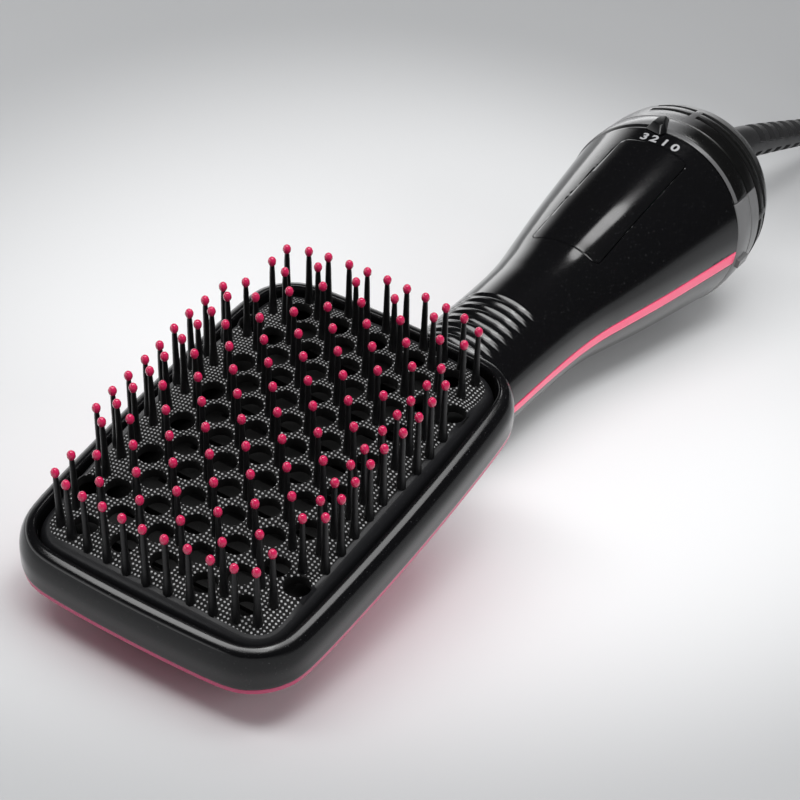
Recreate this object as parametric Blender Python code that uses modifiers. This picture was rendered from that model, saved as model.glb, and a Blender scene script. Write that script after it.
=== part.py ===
# Hot air brush: a paddle head with ball-tipped pins, a grip that holds the blower and the heater,
# a turning switch collar and a mains lead. Lengths below are millimetres unless a name says otherwise.
import bpy
import bmesh
import math
from mathutils import Euler, Matrix, Vector

MM = 0.001
WELD_M = 0.00005
CLEAR = 0.35
SEAM = 0.3
WALL = 2.2

# Shading angles for the smooth surfaces
BODY_ANGLE, PADDLE_ANGLE, RELIEF_ANGLE, CORD_ANGLE = 30, 35, 50, 60
FULL_TURN = 360

# Where the head and the grip sit on the table
HEAD_TILT = 16.5
GRIP_TILT = 6.0
Y_SHIFT = -183.4
HEAD_Y, HEAD_Z = 50.91, 50.68
GRIP_Y, GRIP_Z = 312.6, 36.0

# Paddle outline, measured on the bright lip of the bumper
LIP_HALF_X, LIP_HALF_Y, LIP_CORNER = 45.6, 67.7, 14.0
REACH = 3 * LIP_HALF_Y
BOW_X_SHARE, BOW_Y_SHARE = 0.045, 0.025
CORNER_STEPS, SIDE_STEPS = 5, 4
PLATE_INSET = 3.0

# Bumper section: offset outward from the lip, height in the head frame
BUMPER_SECTION = [
    (-0.9, -6.2), (0.0, -5.8), (0.9, -6.4), (1.5, -7.6), (3.0, -9.4), (3.5, -12.0), (3.5, -17.8),
    (3.1, -18.2), (1.2, -18.2), (1.2, -16.0), (-6.8, -16.0), (-6.8, -13.35), (-2.65, -13.35), (-2.45, -9.0),
]

# Bristle plate: a shallow dome with a rolled margin
DOME_RISE_X, DOME_RISE_Y = 3.35, 5.18
SKIRT = [(0.0, -13.0), (0.0, -8.6)]
MARGIN = [(0.9, -2.7), (2.6, -1.2), (5.2, -0.2), (8.0, 0.0)]
FLANGE = 2.2
PLATE_THICK = 3.2
INNER_SHARES = [0.55]

# Air holes and pins on the plate. Their places are shares of the half sizes of the lip
PITCH_X_SHARE, PITCH_Y_SHARE = 0.14693, 0.11205
ROWS = 15
FRONT_ROW_SHARE = -0.78434
EVEN_PINS, ODD_PINS = [-3, -1, 1, 3], [-4, -2, 0, 2, 4]
HOLE_R_SHARE, HOLE_SIDES = 0.5746, 6
HOLE_CORNER_SHARES = [
    (0.7675, -0.5938), (0.7785, 0.5938),
]
HOLE_TOP, HOLE_BOTTOM = 3.0, -12.0
FRONT_PIN_SHARES = [
    (0.0000, -0.9069), (0.1513, -0.9025), (0.3048, -0.8922), (0.4583, -0.8863), (0.6031, -0.8656),
    (0.7237, -0.8316),
]
BACK_PIN_SHARES = [
    (0.0000, 0.8818), (0.1513, 0.8804), (0.2917, 0.8804), (0.4496, 0.8759), (0.5943, 0.8671),
    (0.7325, 0.8316),
]
INNER_PIN_SHARES = [
    (0.7259, -0.7194), (0.7281, -0.5140), (0.7412, -0.4003), (0.7368, -0.2925), (0.7368, -0.1773),
    (0.7368, -0.0739), (0.7412, 0.0547), (0.7412, 0.1669), (0.7434, 0.2703), (0.7478, 0.3914),
    (0.7368, 0.5185), (0.7303, 0.7134),
]
OUTER_PIN_SHARES = [
    (0.8333, -0.4579), (0.8355, -0.3456), (0.8311, -0.2408), (0.8289, -0.1270), (0.8289, -0.0236),
    (0.8487, 0.0975), (0.8553, 0.2127), (0.8487, 0.3220), (0.8355, 0.4431),
]
PIN_SPLAY_SHARE = 0.05
PIN_SIDES = 3
PIN_PHASE_SHARE = 0.2
PIN_SECTION = [(-2.4, 1.5), (18.4, 0.8), (20.3, 1.6), (21.9, 0.0)]

# Back shell: a bowl from the bumper down to a flat foot, with a neck socket at the rear
HULL_TOP_OFFSET = 3.0
HULL_TOP, HULL_LIP = -18.5, 0.9
HULL_STEPS = 4
FRONT_ANGLE, SIDE_ANGLE = 30.0, 48.0
FRONT_SHARE, KNEE_DROP_SHARE, KNEE_RUN_SHARE = 1.2, 0.95, 0.9
FOOT_Y, FOOT_HALF_X, FOOT_HALF_Y, FOOT_CORNER = 85.0, 16.0, 27.0, 13.0
HULL_LIFT = 4.0
SOCKET = [(15.0, -190.4), (14.4, -200.0), (13.6, -212.0)]
SOCKET_BORE = [(12.6, -188.0), (12.2, -200.0), (11.4, -214.0)]
BAFFLE_INSET = 6.6
BAFFLE_TOP, BAFFLE_BOTTOM = -16.6, -18.4
BAFFLE_SLOT_HALF_X, BAFFLE_SLOT_HALF_Y, BAFFLE_SLOT_PITCH = 28.0, 3.0, 16.0
BAFFLE_SLOTS = [-3, -2, -1, 0, 1, 2, 3]

# Grip skin along its axis: radius, station from the collar seam (negative towards the head)
GRIP_STEPS = 32
GRIP_SKIN = [(36.2, 0.0), (35.0, -5.3), (32.4, -23.0), (30.1, -40.0), (27.5, -55.0), (25.0, -70.0),
             (22.6, -83.0), (21.6, -97.0), (21.0, -124.0), (21.0, -142.0), (20.6, -158.0), (18.6, -176.0),
             (16.2, -190.0)]
BELLY = [(19.1, -158.0), (17.0, -176.0), (15.3, -190.0)]
GRIP_CAVITY = [(12.9, -190.0), (14.6, -176.0), (17.2, -118.0), (20.2, -83.0),
               (22.6, -70.0), (25.0, -55.0), (29.9, -23.0), (31.4, -9.0), (32.15, -8.4), (32.15, 0.0)]
STRIPE_TOP_Y = 0.2
STRIPE_WIDE, STRIPE_NARROW = 3.6, 2.4
PROUD = 0.15

# Finger grooves on the neck
GROOVES = 8
GROOVE_FIRST, GROOVE_PITCH = -120.6, 4.7
NECK_R, GROOVE_DROP, GROOVE_HALF, GROOVE_DEPTH = 21.0, 2.4, 1.1, 1.3

# Glossy panel let into the top of the grip
PANEL_HALF_X, PANEL_REAR, PANEL_FRONT, PANEL_CORNER = 13.3, -8.5, -76.0, 3.0
PANEL_CORNER_STEPS = 3
PANEL_THICK = 1.1
PANEL_SKIN = [(35.0, -5.3), (32.4, -23.0), (30.1, -40.0), (27.5, -55.0), (25.0, -70.0), (22.6, -83.0)]

# Heater in the neck
SLEEVE = [(15.1, -99.0), (15.1, -150.0), (14.4, -150.0), (14.4, -99.0)]
CROSS_HALF, CROSS_THICK, CROSS_FRONT, CROSS_REAR = 10.2, 0.8, -149.0, -100.0
END_RING = (14.05, 8.8, 1.2)
COIL_R, WIRE_R, COIL_TURNS, COIL_INSET = 11.8, 0.7, 4, 5.0
COIL_FRONT, COIL_REAR = CROSS_FRONT + COIL_INSET, CROSS_REAR - COIL_INSET
COIL_POINTS = 10
THERMOSTAT_R, THERMOSTAT_LONG = 4.5, 4.0

# Blower
MOTOR = [(5.0, -29.6), (5.0, -31.0), (14.0, -32.0), (14.0, -60.0), (6.0, -62.0), (6.0, -66.0)]
SHAFT_R, SHAFT_REAR, SHAFT_FRONT = 1.6, -7.5, -29.2
FAN_HUB = [(7.0, -9.0), (7.4, -25.5), (1.95, -25.5), (1.95, -9.0)]
FAN_BLADES, BLADE_OUT, BLADE_THICK = 9, 26.2, 1.3
BLADE_REAR, BLADE_FRONT, BLADE_TWIST_ANGLE = -10.0, -24.6, 32.0
MOUNT_TUBE = [(16.0, -34.0), (16.0, -57.0), (14.35, -57.0), (14.35, -34.0)]
MOUNT_FIN = [(15.0, -37.0), (27.4, -37.0), (25.4, -50.0), (15.0, -50.0)]
MOUNT_FINS, MOUNT_FIN_HALF = 4, 1.0

# Collar: fixed sleeve, turning ring in two sectors, slotted cap
CORE = [(31.8, 14.8), (31.8, -8.0), (30.0, -8.0), (30.0, 14.8)]
RING = [(36.2, 11.0), (36.3, 9.0), (36.3, 2.4), (36.2, 0.8), (32.15, 0.8), (32.15, 11.0)]
SECTOR_FROM_ANGLE, SECTOR_TO_ANGLE, SECTOR_GAP_ANGLE = -75.0, 60.0, 0.3
POINTER_ANGLE = -7.0
POINTER_PLAN = [(0.0, -4.0), (4.4, 6.0), (2.2, 12.4), (-2.2, 12.4), (-4.4, 6.0)]
POINTER_LOW, POINTER_HIGH = 36.65, 39.6
POINTER_ROOT = (2.0, 3.0, 10.0, 34.0)
THUMB_ANGLES = [99.5, -110.0]
THUMB_HALF, THUMB_REAR, THUMB_FRONT, THUMB_LOW, THUMB_HIGH = 1.6, 9.6, 2.2, 34.0, 37.7
CAP = [(36.2, 11.3), (35.9, 19.0), (34.8, 26.0), (33.3, 31.0), (31.3, 35.5), (27.5, 38.0), (22.0, 39.5),
       (10.6, 40.0), (10.6, 37.4), (26.0, 35.6), (31.2, 30.6), (32.9, 25.4),
       (32.9, 15.3), (32.15, 15.1), (32.15, 11.3)]
VENT_ROWS = [(14.6, 16.4), (20.7, 22.6)]
VENT_BRIDGE_ANGLES = [0.0, 80.0, 140.0, 220.0, 280.0]
VENT_BRIDGE_HALF = 1.3
VENT_LOW, VENT_HIGH = 31.0, 38.0
FILTER = [(32.55, 15.5), (31.8, 15.5), (31.8, 25.0), (32.55, 25.0)]
RETAINER = [(30.4, 28.6), (30.4, 30.6), (5.5, 30.6), (5.5, 28.6)]
POST_R, POST_AT_X, POST_AT_Y, POST_LONG = 1.4, 16.0, 10.0, 1.6
BOARD_HALF_X, BOARD_HALF_Y, BOARD_THICK = 20.0, 14.0, 1.4
SWITCH_HALF_X, SWITCH_Y, SWITCH_HALF_Y, SWITCH_LONG = 8.0, -8.0, 4.5, 8.0
SWIVEL = [(7.5, 31.0), (11.4, 32.6), (12.5, 35.0), (12.5, 37.0), (10.2, 37.0), (10.2, 41.0), (9.6, 44.0),
          (7.3, 68.0)]
SWIVEL_STEPS = 16

# Lead: centre line in the upright plane through the axis as (y, z), then the hank on the table
CORD_R = 3.5
RELIEF_PATH = [(68.8, 0.0), (73.0, -0.2), (80.0, -1.5), (87.0, -3.5), (94.5, -5.9), (102.0, -8.4),
               (117.0, -13.5), (132.0, -18.7), (147.0, -23.9), (161.0, -28.8)]
RELIEF_R_FRONT, RELIEF_R_REAR = 7.0, 5.3
RELIEF_CORE_SHARE = 0.8
RIB_FIRST, RIB_PITCH, RIBS, RIB_R_FRONT, RIB_R_REAR, RIB_HALF = 103.0, 6.6, 9, 7.0, 5.8, 1.9
CORD_PATH = [(0.0, 485.5, 21.7), (0.1, 495.5, 18.9), (0.3, 505.5, 15.8), (0.6, 515.5, 12.7), (1.0, 525.5, 9.9),
             (1.4, 535.5, 7.6), (1.7, 545.5, 5.9), (1.9, 555.5, 4.8), (2.0, 567.5, 4.35), (2.0, 580.5, 4.3),
             (2.0, 592.8, 4.3)]
HANK_X, HANK_Y = 47.4, 593.5
HANK_OUT, HANK_PITCH, HANK_TURNS, HANK_LAYERS, HANK_CLIMB_TURNS, HANK_POINTS = 45.4, 8.0, 1.375, 4, 0.25, 24
HANK_LOW, HANK_RISE = 4.3, 7.6
HANK_EXIT = [(46.6, 0.0), (48.2, -0.1), (50.0, -0.4), (51.8, -0.9), (53.0, -1.6), (53.6, -2.6)]
TAIL = [(8.0, 0.0, -4.0), (18.0, 0.0, -6.4), (28.0, 0.8, -9.2), (38.0, 2.6, -12.1), (48.0, 5.0, -14.8),
        (58.0, 7.2, -16.9), (68.0, 8.0, -18.0), (76.0, 8.0, -18.1)]
PLUG_HALF_WIDE, PLUG_LONG, PLUG_HIGH, PLUG_BEVEL = 12.5, 34.0, 18.0, 3.0
BLADE_HALF_GAP, BLADE_WIDE, BLADE_FLAT, BLADE_LONG = 6.35, 6.3, 1.5, 17.0


def clear_scene():
    for item in list(bpy.data.objects):
        bpy.data.objects.remove(item, do_unlink=True)


def collection(name):
    made = bpy.data.collections.new(name)
    bpy.context.scene.collection.children.link(made)
    return made


def material(name, colour, rough, metal=0.0):
    made = bpy.data.materials.new(name)
    made.use_nodes = True
    shader = made.node_tree.nodes['Principled BSDF']
    shader.inputs['Base Color'].default_value = (*colour, 1.0)
    shader.inputs['Roughness'].default_value = rough
    shader.inputs['Metallic'].default_value = metal
    made.diffuse_color = (*colour, 1.0)
    return made


clear_scene()
PARTS = collection('hot_air_brush')
CUTTERS = collection('cutters')
LOOKS = {
    'black_gloss': ((0.008, 0.008, 0.009), 0.16, 0.0),
    'black_satin': ((0.012, 0.012, 0.013), 0.42, 0.0),
    'pink': ((0.85, 0.06, 0.19), 0.3, 0.0),
    'rubber': ((0.015, 0.015, 0.015), 0.6, 0.0),
    'steel': ((0.55, 0.55, 0.56), 0.3, 1.0),
    'wire': ((0.45, 0.33, 0.22), 0.4, 1.0),
    'mica': ((0.72, 0.66, 0.5), 0.55, 0.0),
    'board': ((0.05, 0.2, 0.09), 0.5, 0.0),
    'nickel': ((0.7, 0.68, 0.62), 0.25, 1.0),
}


# Frames that the head and the grip are parented to
def empty(name, y, z, turn):
    made = bpy.data.objects.new(name, None)
    made.location = (0, (y + Y_SHIFT) * MM, z * MM)
    made.rotation_euler = Euler((math.radians(turn), 0, 0))
    PARTS.objects.link(made)
    return made


HEAD = empty('head_frame', HEAD_Y, HEAD_Z, HEAD_TILT)
GRIP = empty('grip_frame', GRIP_Y, GRIP_Z, GRIP_TILT - 90)
bpy.context.view_layer.update()


def add(name, mesh, look=None, frame=None, smooth=None):
    made = bpy.data.objects.new(name, mesh)
    if frame is not None:
        made.parent = frame
    if look is None:
        CUTTERS.objects.link(made)
        made.hide_render = True
        made.display_type = 'WIRE'
    else:
        PARTS.objects.link(made)
        colour, rough, metal = LOOKS[look]
        made.data.materials.append(material(name + '_' + look, colour, rough, metal))
    if smooth is not None:
        mesh.shade_smooth()
        mesh.set_sharp_from_angle(angle=math.radians(smooth))
    return made


def bool_mod(target, cutter, operation='DIFFERENCE'):
    mod = target.modifiers.new(cutter.name, 'BOOLEAN')
    mod.operation = operation
    mod.solver = 'EXACT'
    mod.object = cutter
    return target


def closed(work, name):
    bmesh.ops.recalc_face_normals(work, faces=work.faces)
    mesh = bpy.data.meshes.new(name)
    work.to_mesh(mesh)
    work.free()
    return mesh


# Solids from modelling tools
def baked(source, name):
    view = bpy.context.evaluated_depsgraph_get()
    mesh = bpy.data.meshes.new_from_object(source.evaluated_get(view))
    bpy.data.objects.remove(source, do_unlink=True)
    mesh.name = name
    work = bmesh.new()
    work.from_mesh(mesh)
    bpy.data.meshes.remove(mesh)
    bmesh.ops.remove_doubles(work, verts=work.verts, dist=WELD_M)
    return closed(work, name)


def spun(name, section, steps=GRIP_STEPS, solid=False):
    points = [(r * MM, 0, s * MM) for r, s in section]
    links = [(i, i + 1) for i in range(len(points) - 1)]
    if solid:
        points = [(0, 0, points[0][2])] + points + [(0, 0, points[-1][2])]
        links = [(i, i + 1) for i in range(len(points) - 1)]
    else:
        links.append((len(points) - 1, 0))
    mesh = bpy.data.meshes.new(name)
    mesh.from_pydata(points, links, [])
    body = bpy.data.objects.new(name, mesh)
    bpy.context.scene.collection.objects.link(body)
    screw = body.modifiers.new('spin', 'SCREW')
    screw.steps = screw.render_steps = steps
    screw.use_merge_vertices = True
    screw.merge_threshold = WELD_M
    bpy.context.view_layer.update()
    return baked(body, name)


def prism(name, outline, low, high, across='Z'):
    line = bpy.data.curves.new(name, 'CURVE')
    line.dimensions = '2D'
    line.fill_mode = 'BOTH'
    line.extrude = (high - low) * MM / 2
    spline = line.splines.new('POLY')
    spline.points.add(len(outline) - 1)
    for point, (u, v) in zip(spline.points, outline):
        point.co = (u * MM, v * MM, 0, 1)
    spline.use_cyclic_u = True
    body = bpy.data.objects.new(name, line)
    bpy.context.scene.collection.objects.link(body)
    bpy.context.view_layer.update()
    mesh = baked(body, name)
    mesh.transform(Matrix.Translation((0, 0, (high + low) * MM / 2)))
    if across == 'X':
        mesh.transform(Matrix(((0, 0, 1, 0), (1, 0, 0, 0), (0, 1, 0, 0), (0, 0, 0, 1))))
    if across == 'Y':
        mesh.transform(Matrix(((1, 0, 0, 0), (0, 0, -1, 0), (0, 1, 0, 0), (0, 0, 0, 1))))
    return mesh


def box(name, x0, x1, y0, y1, z0, z1):
    return prism(name, [(x0, y0), (x1, y0), (x1, y1), (x0, y1)], z0, z1)


def merged(name, meshes):
    work = bmesh.new()
    for mesh in meshes:
        work.from_mesh(mesh)
        bpy.data.meshes.remove(mesh)
    return closed(work, name)


def turned(mesh, degrees):
    mesh.transform(Matrix.Rotation(math.radians(degrees), 4, 'Z'))
    return mesh


def tube(name, path, radius, sides, radii=None):
    line = bpy.data.curves.new(name, 'CURVE')
    line.dimensions = '3D'
    line.bevel_depth = radius * MM
    line.bevel_resolution = (sides - 4) // 2
    line.use_fill_caps = True
    spline = line.splines.new('POLY')
    spline.points.add(len(path) - 1)
    for index, (point, place) in enumerate(zip(spline.points, path)):
        point.co = (*[v * MM for v in place], 1)
        point.radius = radii[index] if radii else 1.0
    body = bpy.data.objects.new(name, line)
    bpy.context.scene.collection.objects.link(body)
    bpy.context.view_layer.update()
    return baked(body, name)


# Lofted solids
def loft(name, rings, looped=False):
    work = bmesh.new()
    made = [[work.verts.new([v * MM for v in p]) for p in ring] for ring in rings]
    count = len(made[0])
    pairs = list(zip(made, made[1:]))
    if looped:
        pairs.append((made[-1], made[0]))
    for first, second in pairs:
        for i in range(count):
            j = (i + 1) % count
            work.faces.new((first[i], first[j], second[j], second[i]))
    if not looped:
        work.faces.new(made[0])
        work.faces.new(made[-1])
    return closed(work, name)


def outline(half_x, half_y, corner):
    points = []
    corners = [(1, -1, -90), (1, 1, 0), (-1, 1, 90), (-1, -1, 180)]
    for sx, sy, start in corners:
        for k in range(CORNER_STEPS + 1):
            turn = math.radians(start + 90 * k / CORNER_STEPS)
            points.append((sx * (half_x - corner) + corner * math.cos(turn),
                           sy * (half_y - corner) + corner * math.sin(turn)))
    full = []
    step = CORNER_STEPS + 1
    for index, point in enumerate(points):
        full.append(point)
        if index % step == CORNER_STEPS:
            after = points[(index + 1) % len(points)]
            for k in range(1, SIDE_STEPS):
                share = k / SIDE_STEPS
                full.append(tuple(a + (b - a) * share for a, b in zip(point, after)))
    return full


def paddle(offset):
    flat = outline(LIP_HALF_X + offset, LIP_HALF_Y + offset, max(LIP_CORNER + offset, 1.0))
    return [(x * (1 - BOW_X_SHARE * (y / LIP_HALF_Y) ** 2), y * (1 - BOW_Y_SHARE * (x / LIP_HALF_X) ** 2))
            for x, y in flat]


def dome(x, y):
    return -DOME_RISE_X * (x / LIP_HALF_X) ** 2 - DOME_RISE_Y * (y / LIP_HALF_Y) ** 2


# Bumper round the paddle
bumper_rings = [[(x, y, height) for x, y in paddle(offset)] for offset, height in BUMPER_SECTION]
add('head_bumper', loft('head_bumper', bumper_rings, looped=True), 'black_satin', HEAD, PADDLE_ANGLE)


# Bristle plate, its pins and air holes
def plate_mesh():
    rings = [[(x, y, height) for x, y in paddle(-PLATE_INSET - inset)] for inset, height in SKIRT]
    rings += [[(x, y, height + dome(x, y)) for x, y in paddle(-PLATE_INSET - inset)] for inset, height in MARGIN]
    flat = paddle(-PLATE_INSET - MARGIN[-1][0])
    for share in INNER_SHARES:
        rings.append([(x * share, y * share, dome(x * share, y * share)) for x, y in flat])
    inner = paddle(-PLATE_INSET - FLANGE)
    under = []
    for share in INNER_SHARES + [1.0]:
        under.append([(x * share, y * share, dome(x * share, y * share) - PLATE_THICK) for x, y in inner])
    under.append([(x, y, SKIRT[0][1]) for x, y in inner])
    return loft('bristle_plate', under + rings)


def row_places(even, odd):
    pitch_x, pitch_y = PITCH_X_SHARE * LIP_HALF_X, PITCH_Y_SHARE * LIP_HALF_Y
    places = []
    for row in range(ROWS):
        for across in (even if row % 2 == 0 else odd):
            places.append((across * pitch_x, FRONT_ROW_SHARE * LIP_HALF_Y + row * pitch_y))
    return places


def both_sides(shares):
    places = []
    for x, y in shares:
        places.append((x * LIP_HALF_X, y * LIP_HALF_Y))
        if x:
            places.append((-x * LIP_HALF_X, y * LIP_HALF_Y))
    return places


def pin_places():
    edge = FRONT_PIN_SHARES + BACK_PIN_SHARES + INNER_PIN_SHARES + OUTER_PIN_SHARES
    return row_places(EVEN_PINS, ODD_PINS) + both_sides(edge)


def hole_places():
    return row_places(ODD_PINS, EVEN_PINS) + both_sides(HOLE_CORNER_SHARES)


def circle(x, y, radius, sides, z):
    turns = [2 * math.pi * (k + PIN_PHASE_SHARE) / sides for k in range(sides)]
    return [(x + radius * math.cos(t), y + radius * math.sin(t), z) for t in turns]


def pins_mesh():
    work = bmesh.new()
    for x, y in pin_places():
        lean = Vector((-dome(x, 0) / x if x else 0, -dome(0, y) / y if y else 0, 1 / PIN_SPLAY_SHARE / 2))
        lean.normalize()
        root = Vector((x, y, dome(x, y)))
        rings = []
        for along, radius in PIN_SECTION[:-1]:
            base = root + lean * along
            around = circle(base.x, base.y, radius, PIN_SIDES, base.z)
            rings.append([work.verts.new(Vector(p) * MM) for p in around])
        peak = work.verts.new((root + lean * PIN_SECTION[-1][0]) * MM)
        work.faces.new(rings[0])
        for low, high in zip(rings, rings[1:]):
            for i in range(PIN_SIDES):
                j = (i + 1) % PIN_SIDES
                work.faces.new((low[i], low[j], high[j], high[i]))
        for i in range(PIN_SIDES):
            work.faces.new((rings[-1][i], rings[-1][(i + 1) % PIN_SIDES], peak))
    return closed(work, 'pins')


hole_r = HOLE_R_SHARE * min(PITCH_X_SHARE * LIP_HALF_X, PITCH_Y_SHARE * LIP_HALF_Y)
hole_cuts = [loft('hole', [circle(x, y, hole_r, HOLE_SIDES, height) for height in (HOLE_BOTTOM, HOLE_TOP)])
             for x, y in hole_places()]
plate = add('bristle_plate', plate_mesh(), 'black_satin', HEAD, PADDLE_ANGLE)
bool_mod(plate, add('air_holes', merged('air_holes', hole_cuts), frame=HEAD))
bool_mod(plate, add('pins', pins_mesh(), frame=HEAD), 'UNION')

# Baffle that spreads the air under the plate
baffle_rings = [[(x, y, z) for x, y in paddle(-BAFFLE_INSET)] for z in (BAFFLE_BOTTOM, BAFFLE_TOP)]
baffle = add('air_baffle', loft('air_baffle', baffle_rings), 'mica', HEAD)
slots = [box('slot', -BAFFLE_SLOT_HALF_X, BAFFLE_SLOT_HALF_X, k * BAFFLE_SLOT_PITCH - BAFFLE_SLOT_HALF_Y,
             k * BAFFLE_SLOT_PITCH + BAFFLE_SLOT_HALF_Y, BAFFLE_BOTTOM - WALL, BAFFLE_TOP + WALL)
         for k in BAFFLE_SLOTS]
bool_mod(baffle, add('baffle_slots', merged('baffle_slots', slots), frame=HEAD))


# Back shell
def in_world(point):
    place = HEAD.matrix_world @ (Vector(point) * MM)
    return tuple(v / MM for v in place)


def bent(rim, foot, share):
    run, drop = math.hypot(rim[0] - foot[0], rim[1] - foot[1]), rim[2] - foot[2]
    frontness = max(0, min(1, FRONT_SHARE * (foot[1] - rim[1]) / run))
    slope = math.tan(math.radians(SIDE_ANGLE + (FRONT_ANGLE - SIDE_ANGLE) * frontness))
    knee = min(KNEE_DROP_SHARE * drop / slope, KNEE_RUN_SHARE * run)
    plan = (2 * share * (1 - share) * knee + share ** 2 * run) / run
    down = 2 * share * (1 - share) * knee * slope + share ** 2 * drop
    return (rim[0] + (foot[0] - rim[0]) * plan, rim[1] + (foot[1] - rim[1]) * plan, rim[2] - down)


def bowl(name, inset, lift):
    edge = paddle(HULL_TOP_OFFSET - 2 * inset)
    rim = [in_world((x, y, HULL_TOP - HULL_LIP + inset)) for x, y in edge]
    foot = outline(FOOT_HALF_X - inset, FOOT_HALF_Y - inset, FOOT_CORNER - inset)
    foot = [(x, y + FOOT_Y + Y_SHIFT, inset) for x, y in foot]
    rings = [[in_world((x, y, HULL_TOP + lift)) for x, y in edge], rim]
    for step in range(1, HULL_STEPS + 1):
        rings.append([bent(t, f, step / HULL_STEPS) for t, f in zip(rim, foot)])
    return loft(name, rings)


hull = add('back_shell', bowl('back_shell', 0, 0), 'pink', None, PADDLE_ANGLE)
bool_mod(hull, add('neck_socket', spun('neck_socket', SOCKET, 24, True), frame=GRIP), 'UNION')
bool_mod(hull, add('bowl_inside', bowl('bowl_inside', WALL, HULL_LIFT)))
bool_mod(hull, add('socket_bore', spun('socket_bore', SOCKET_BORE, 24, True), frame=GRIP))


# Grip shells, side stripes and panel
def grip_body(name, ends=(), proud=0.0):
    skin = GRIP_SKIN[:len(GRIP_SKIN) - len(ends)] + list(ends)
    return spun(name, [(r + proud, s) for r, s in skin] + GRIP_CAVITY)


def side_plan(name, top_rear, top_front, low_rear, low_front):
    rear, front = GRIP_SKIN[0][1] + CLEAR * 4, GRIP_SKIN[-1][1] - CLEAR * 4
    corners = [(top_rear, rear), (top_front, front), (low_front, front), (low_rear, rear)]
    return prism(name, corners, -REACH / 2, REACH / 2, 'X')


def skin_band(name, low, high):
    outer = [(r + high, s) for r, s in PANEL_SKIN]
    inner = [(r + low, s) for r, s in reversed(PANEL_SKIN)]
    return spun(name, outer + inner)


def panel_plan(name, grow):
    half, rear, front, corner = PANEL_HALF_X + grow, PANEL_REAR + grow, PANEL_FRONT - grow, PANEL_CORNER + grow
    points = []
    for cx, cz, start in ((half - corner, front + corner, -90), (half - corner, rear - corner, 0),
                          (corner - half, rear - corner, 90), (corner - half, front + corner, 180)):
        for k in range(PANEL_CORNER_STEPS + 1):
            turn = math.radians(start + 90 * k / PANEL_CORNER_STEPS)
            points.append((cx + corner * math.cos(turn), cz + corner * math.sin(turn)))
    return prism(name, points, 0, REACH / 2, 'Y')


top_shell = add('grip_top_shell', grip_body('grip_top_shell'), 'black_gloss', GRIP, BODY_ANGLE)
upper_half = side_plan('upper_half', -REACH / 2, -REACH / 2, STRIPE_TOP_Y - SEAM, STRIPE_TOP_Y - SEAM)
upper_half = add('upper_half', upper_half, frame=GRIP)
bool_mod(top_shell, upper_half, 'INTERSECT')
recess = add('panel_recess', skin_band('panel_recess', -PANEL_THICK - SEAM, PANEL_THICK), frame=GRIP)
bool_mod(recess, add('recess_plan', panel_plan('recess_plan', SEAM / 2), frame=GRIP), 'INTERSECT')
bool_mod(top_shell, recess)
grooves = []
for index in range(GROOVES):
    station = GROOVE_FIRST - index * GROOVE_PITCH
    deep = NECK_R + GROOVE_DROP - GROOVE_DEPTH
    section = [(deep, station), (deep + 2 * GROOVE_DEPTH, station - 2 * GROOVE_HALF),
               (deep + 2 * GROOVE_DEPTH, station + 2 * GROOVE_HALF)]
    ring = spun('groove', section)
    ring.transform(Matrix.Translation((0, GROOVE_DROP * MM, 0)))
    grooves.append(ring)
bool_mod(top_shell, add('finger_grooves', merged('finger_grooves', grooves), frame=GRIP))
panel = add('top_panel', skin_band('top_panel', -PANEL_THICK, 0), 'black_gloss', GRIP, BODY_ANGLE)
bool_mod(panel, add('panel_plan', panel_plan('panel_plan', -SEAM / 2), frame=GRIP), 'INTERSECT')

for side, name in ((1, 'side_stripe_right'), (-1, 'side_stripe_left')):
    stripe = add(name, grip_body(name, BELLY, PROUD), 'pink', GRIP, BODY_ANGLE)
    low = (STRIPE_TOP_Y + STRIPE_WIDE, STRIPE_TOP_Y + STRIPE_NARROW)
    plan = side_plan(name + '_plan', STRIPE_TOP_Y, STRIPE_TOP_Y, *low)
    bool_mod(stripe, add(name + '_plan', plan, frame=GRIP), 'INTERSECT')
    half = box(name + '_half', min(0, side * REACH), max(0, side * REACH), -REACH, REACH, -REACH, REACH)
    bool_mod(stripe, add(name + '_half', half, frame=GRIP), 'INTERSECT')
belly = add('grip_bottom_shell', grip_body('grip_bottom_shell', BELLY), 'black_gloss', GRIP, BODY_ANGLE)
stripe_foot = (STRIPE_TOP_Y + STRIPE_WIDE + SEAM, STRIPE_TOP_Y + STRIPE_NARROW + SEAM)
lower_half = side_plan('lower_half', *stripe_foot, REACH / 2, REACH / 2)
bool_mod(belly, add('lower_half', lower_half, frame=GRIP), 'INTERSECT')

# Heater
add('heater_sleeve', spun('heater_sleeve', SLEEVE, 24), 'mica', GRIP, BODY_ANGLE)
half_thick = CROSS_THICK / 2
cross = box('mica_cross', -CROSS_HALF, CROSS_HALF, -half_thick, half_thick, CROSS_FRONT, CROSS_REAR)
cross = add('mica_cross', cross, 'mica', GRIP)
cross_way = box('cross_way', -half_thick, half_thick, -CROSS_HALF, CROSS_HALF, CROSS_FRONT, CROSS_REAR)
bool_mod(cross, add('cross_way', cross_way, frame=GRIP), 'UNION')
for place, name in ((CROSS_FRONT, 'ring_front'), (CROSS_REAR - END_RING[2], 'ring_rear')):
    section = [(END_RING[0], place + END_RING[2]), (END_RING[0], place),
               (END_RING[1], place), (END_RING[1], place + END_RING[2])]
    bool_mod(cross, add(name, spun(name, section, 12), frame=GRIP), 'UNION')
turns = COIL_TURNS * COIL_POINTS
coil_path = []
for index in range(turns + 1):
    turn = 2 * math.pi * index / COIL_POINTS
    station = COIL_FRONT + (COIL_REAR - COIL_FRONT) * index / turns
    coil_path.append((COIL_R * math.cos(turn), COIL_R * math.sin(turn), station))
add('heater_coil', tube('heater_coil', coil_path, WIRE_R, 4), 'wire', GRIP, CORD_ANGLE)
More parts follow.
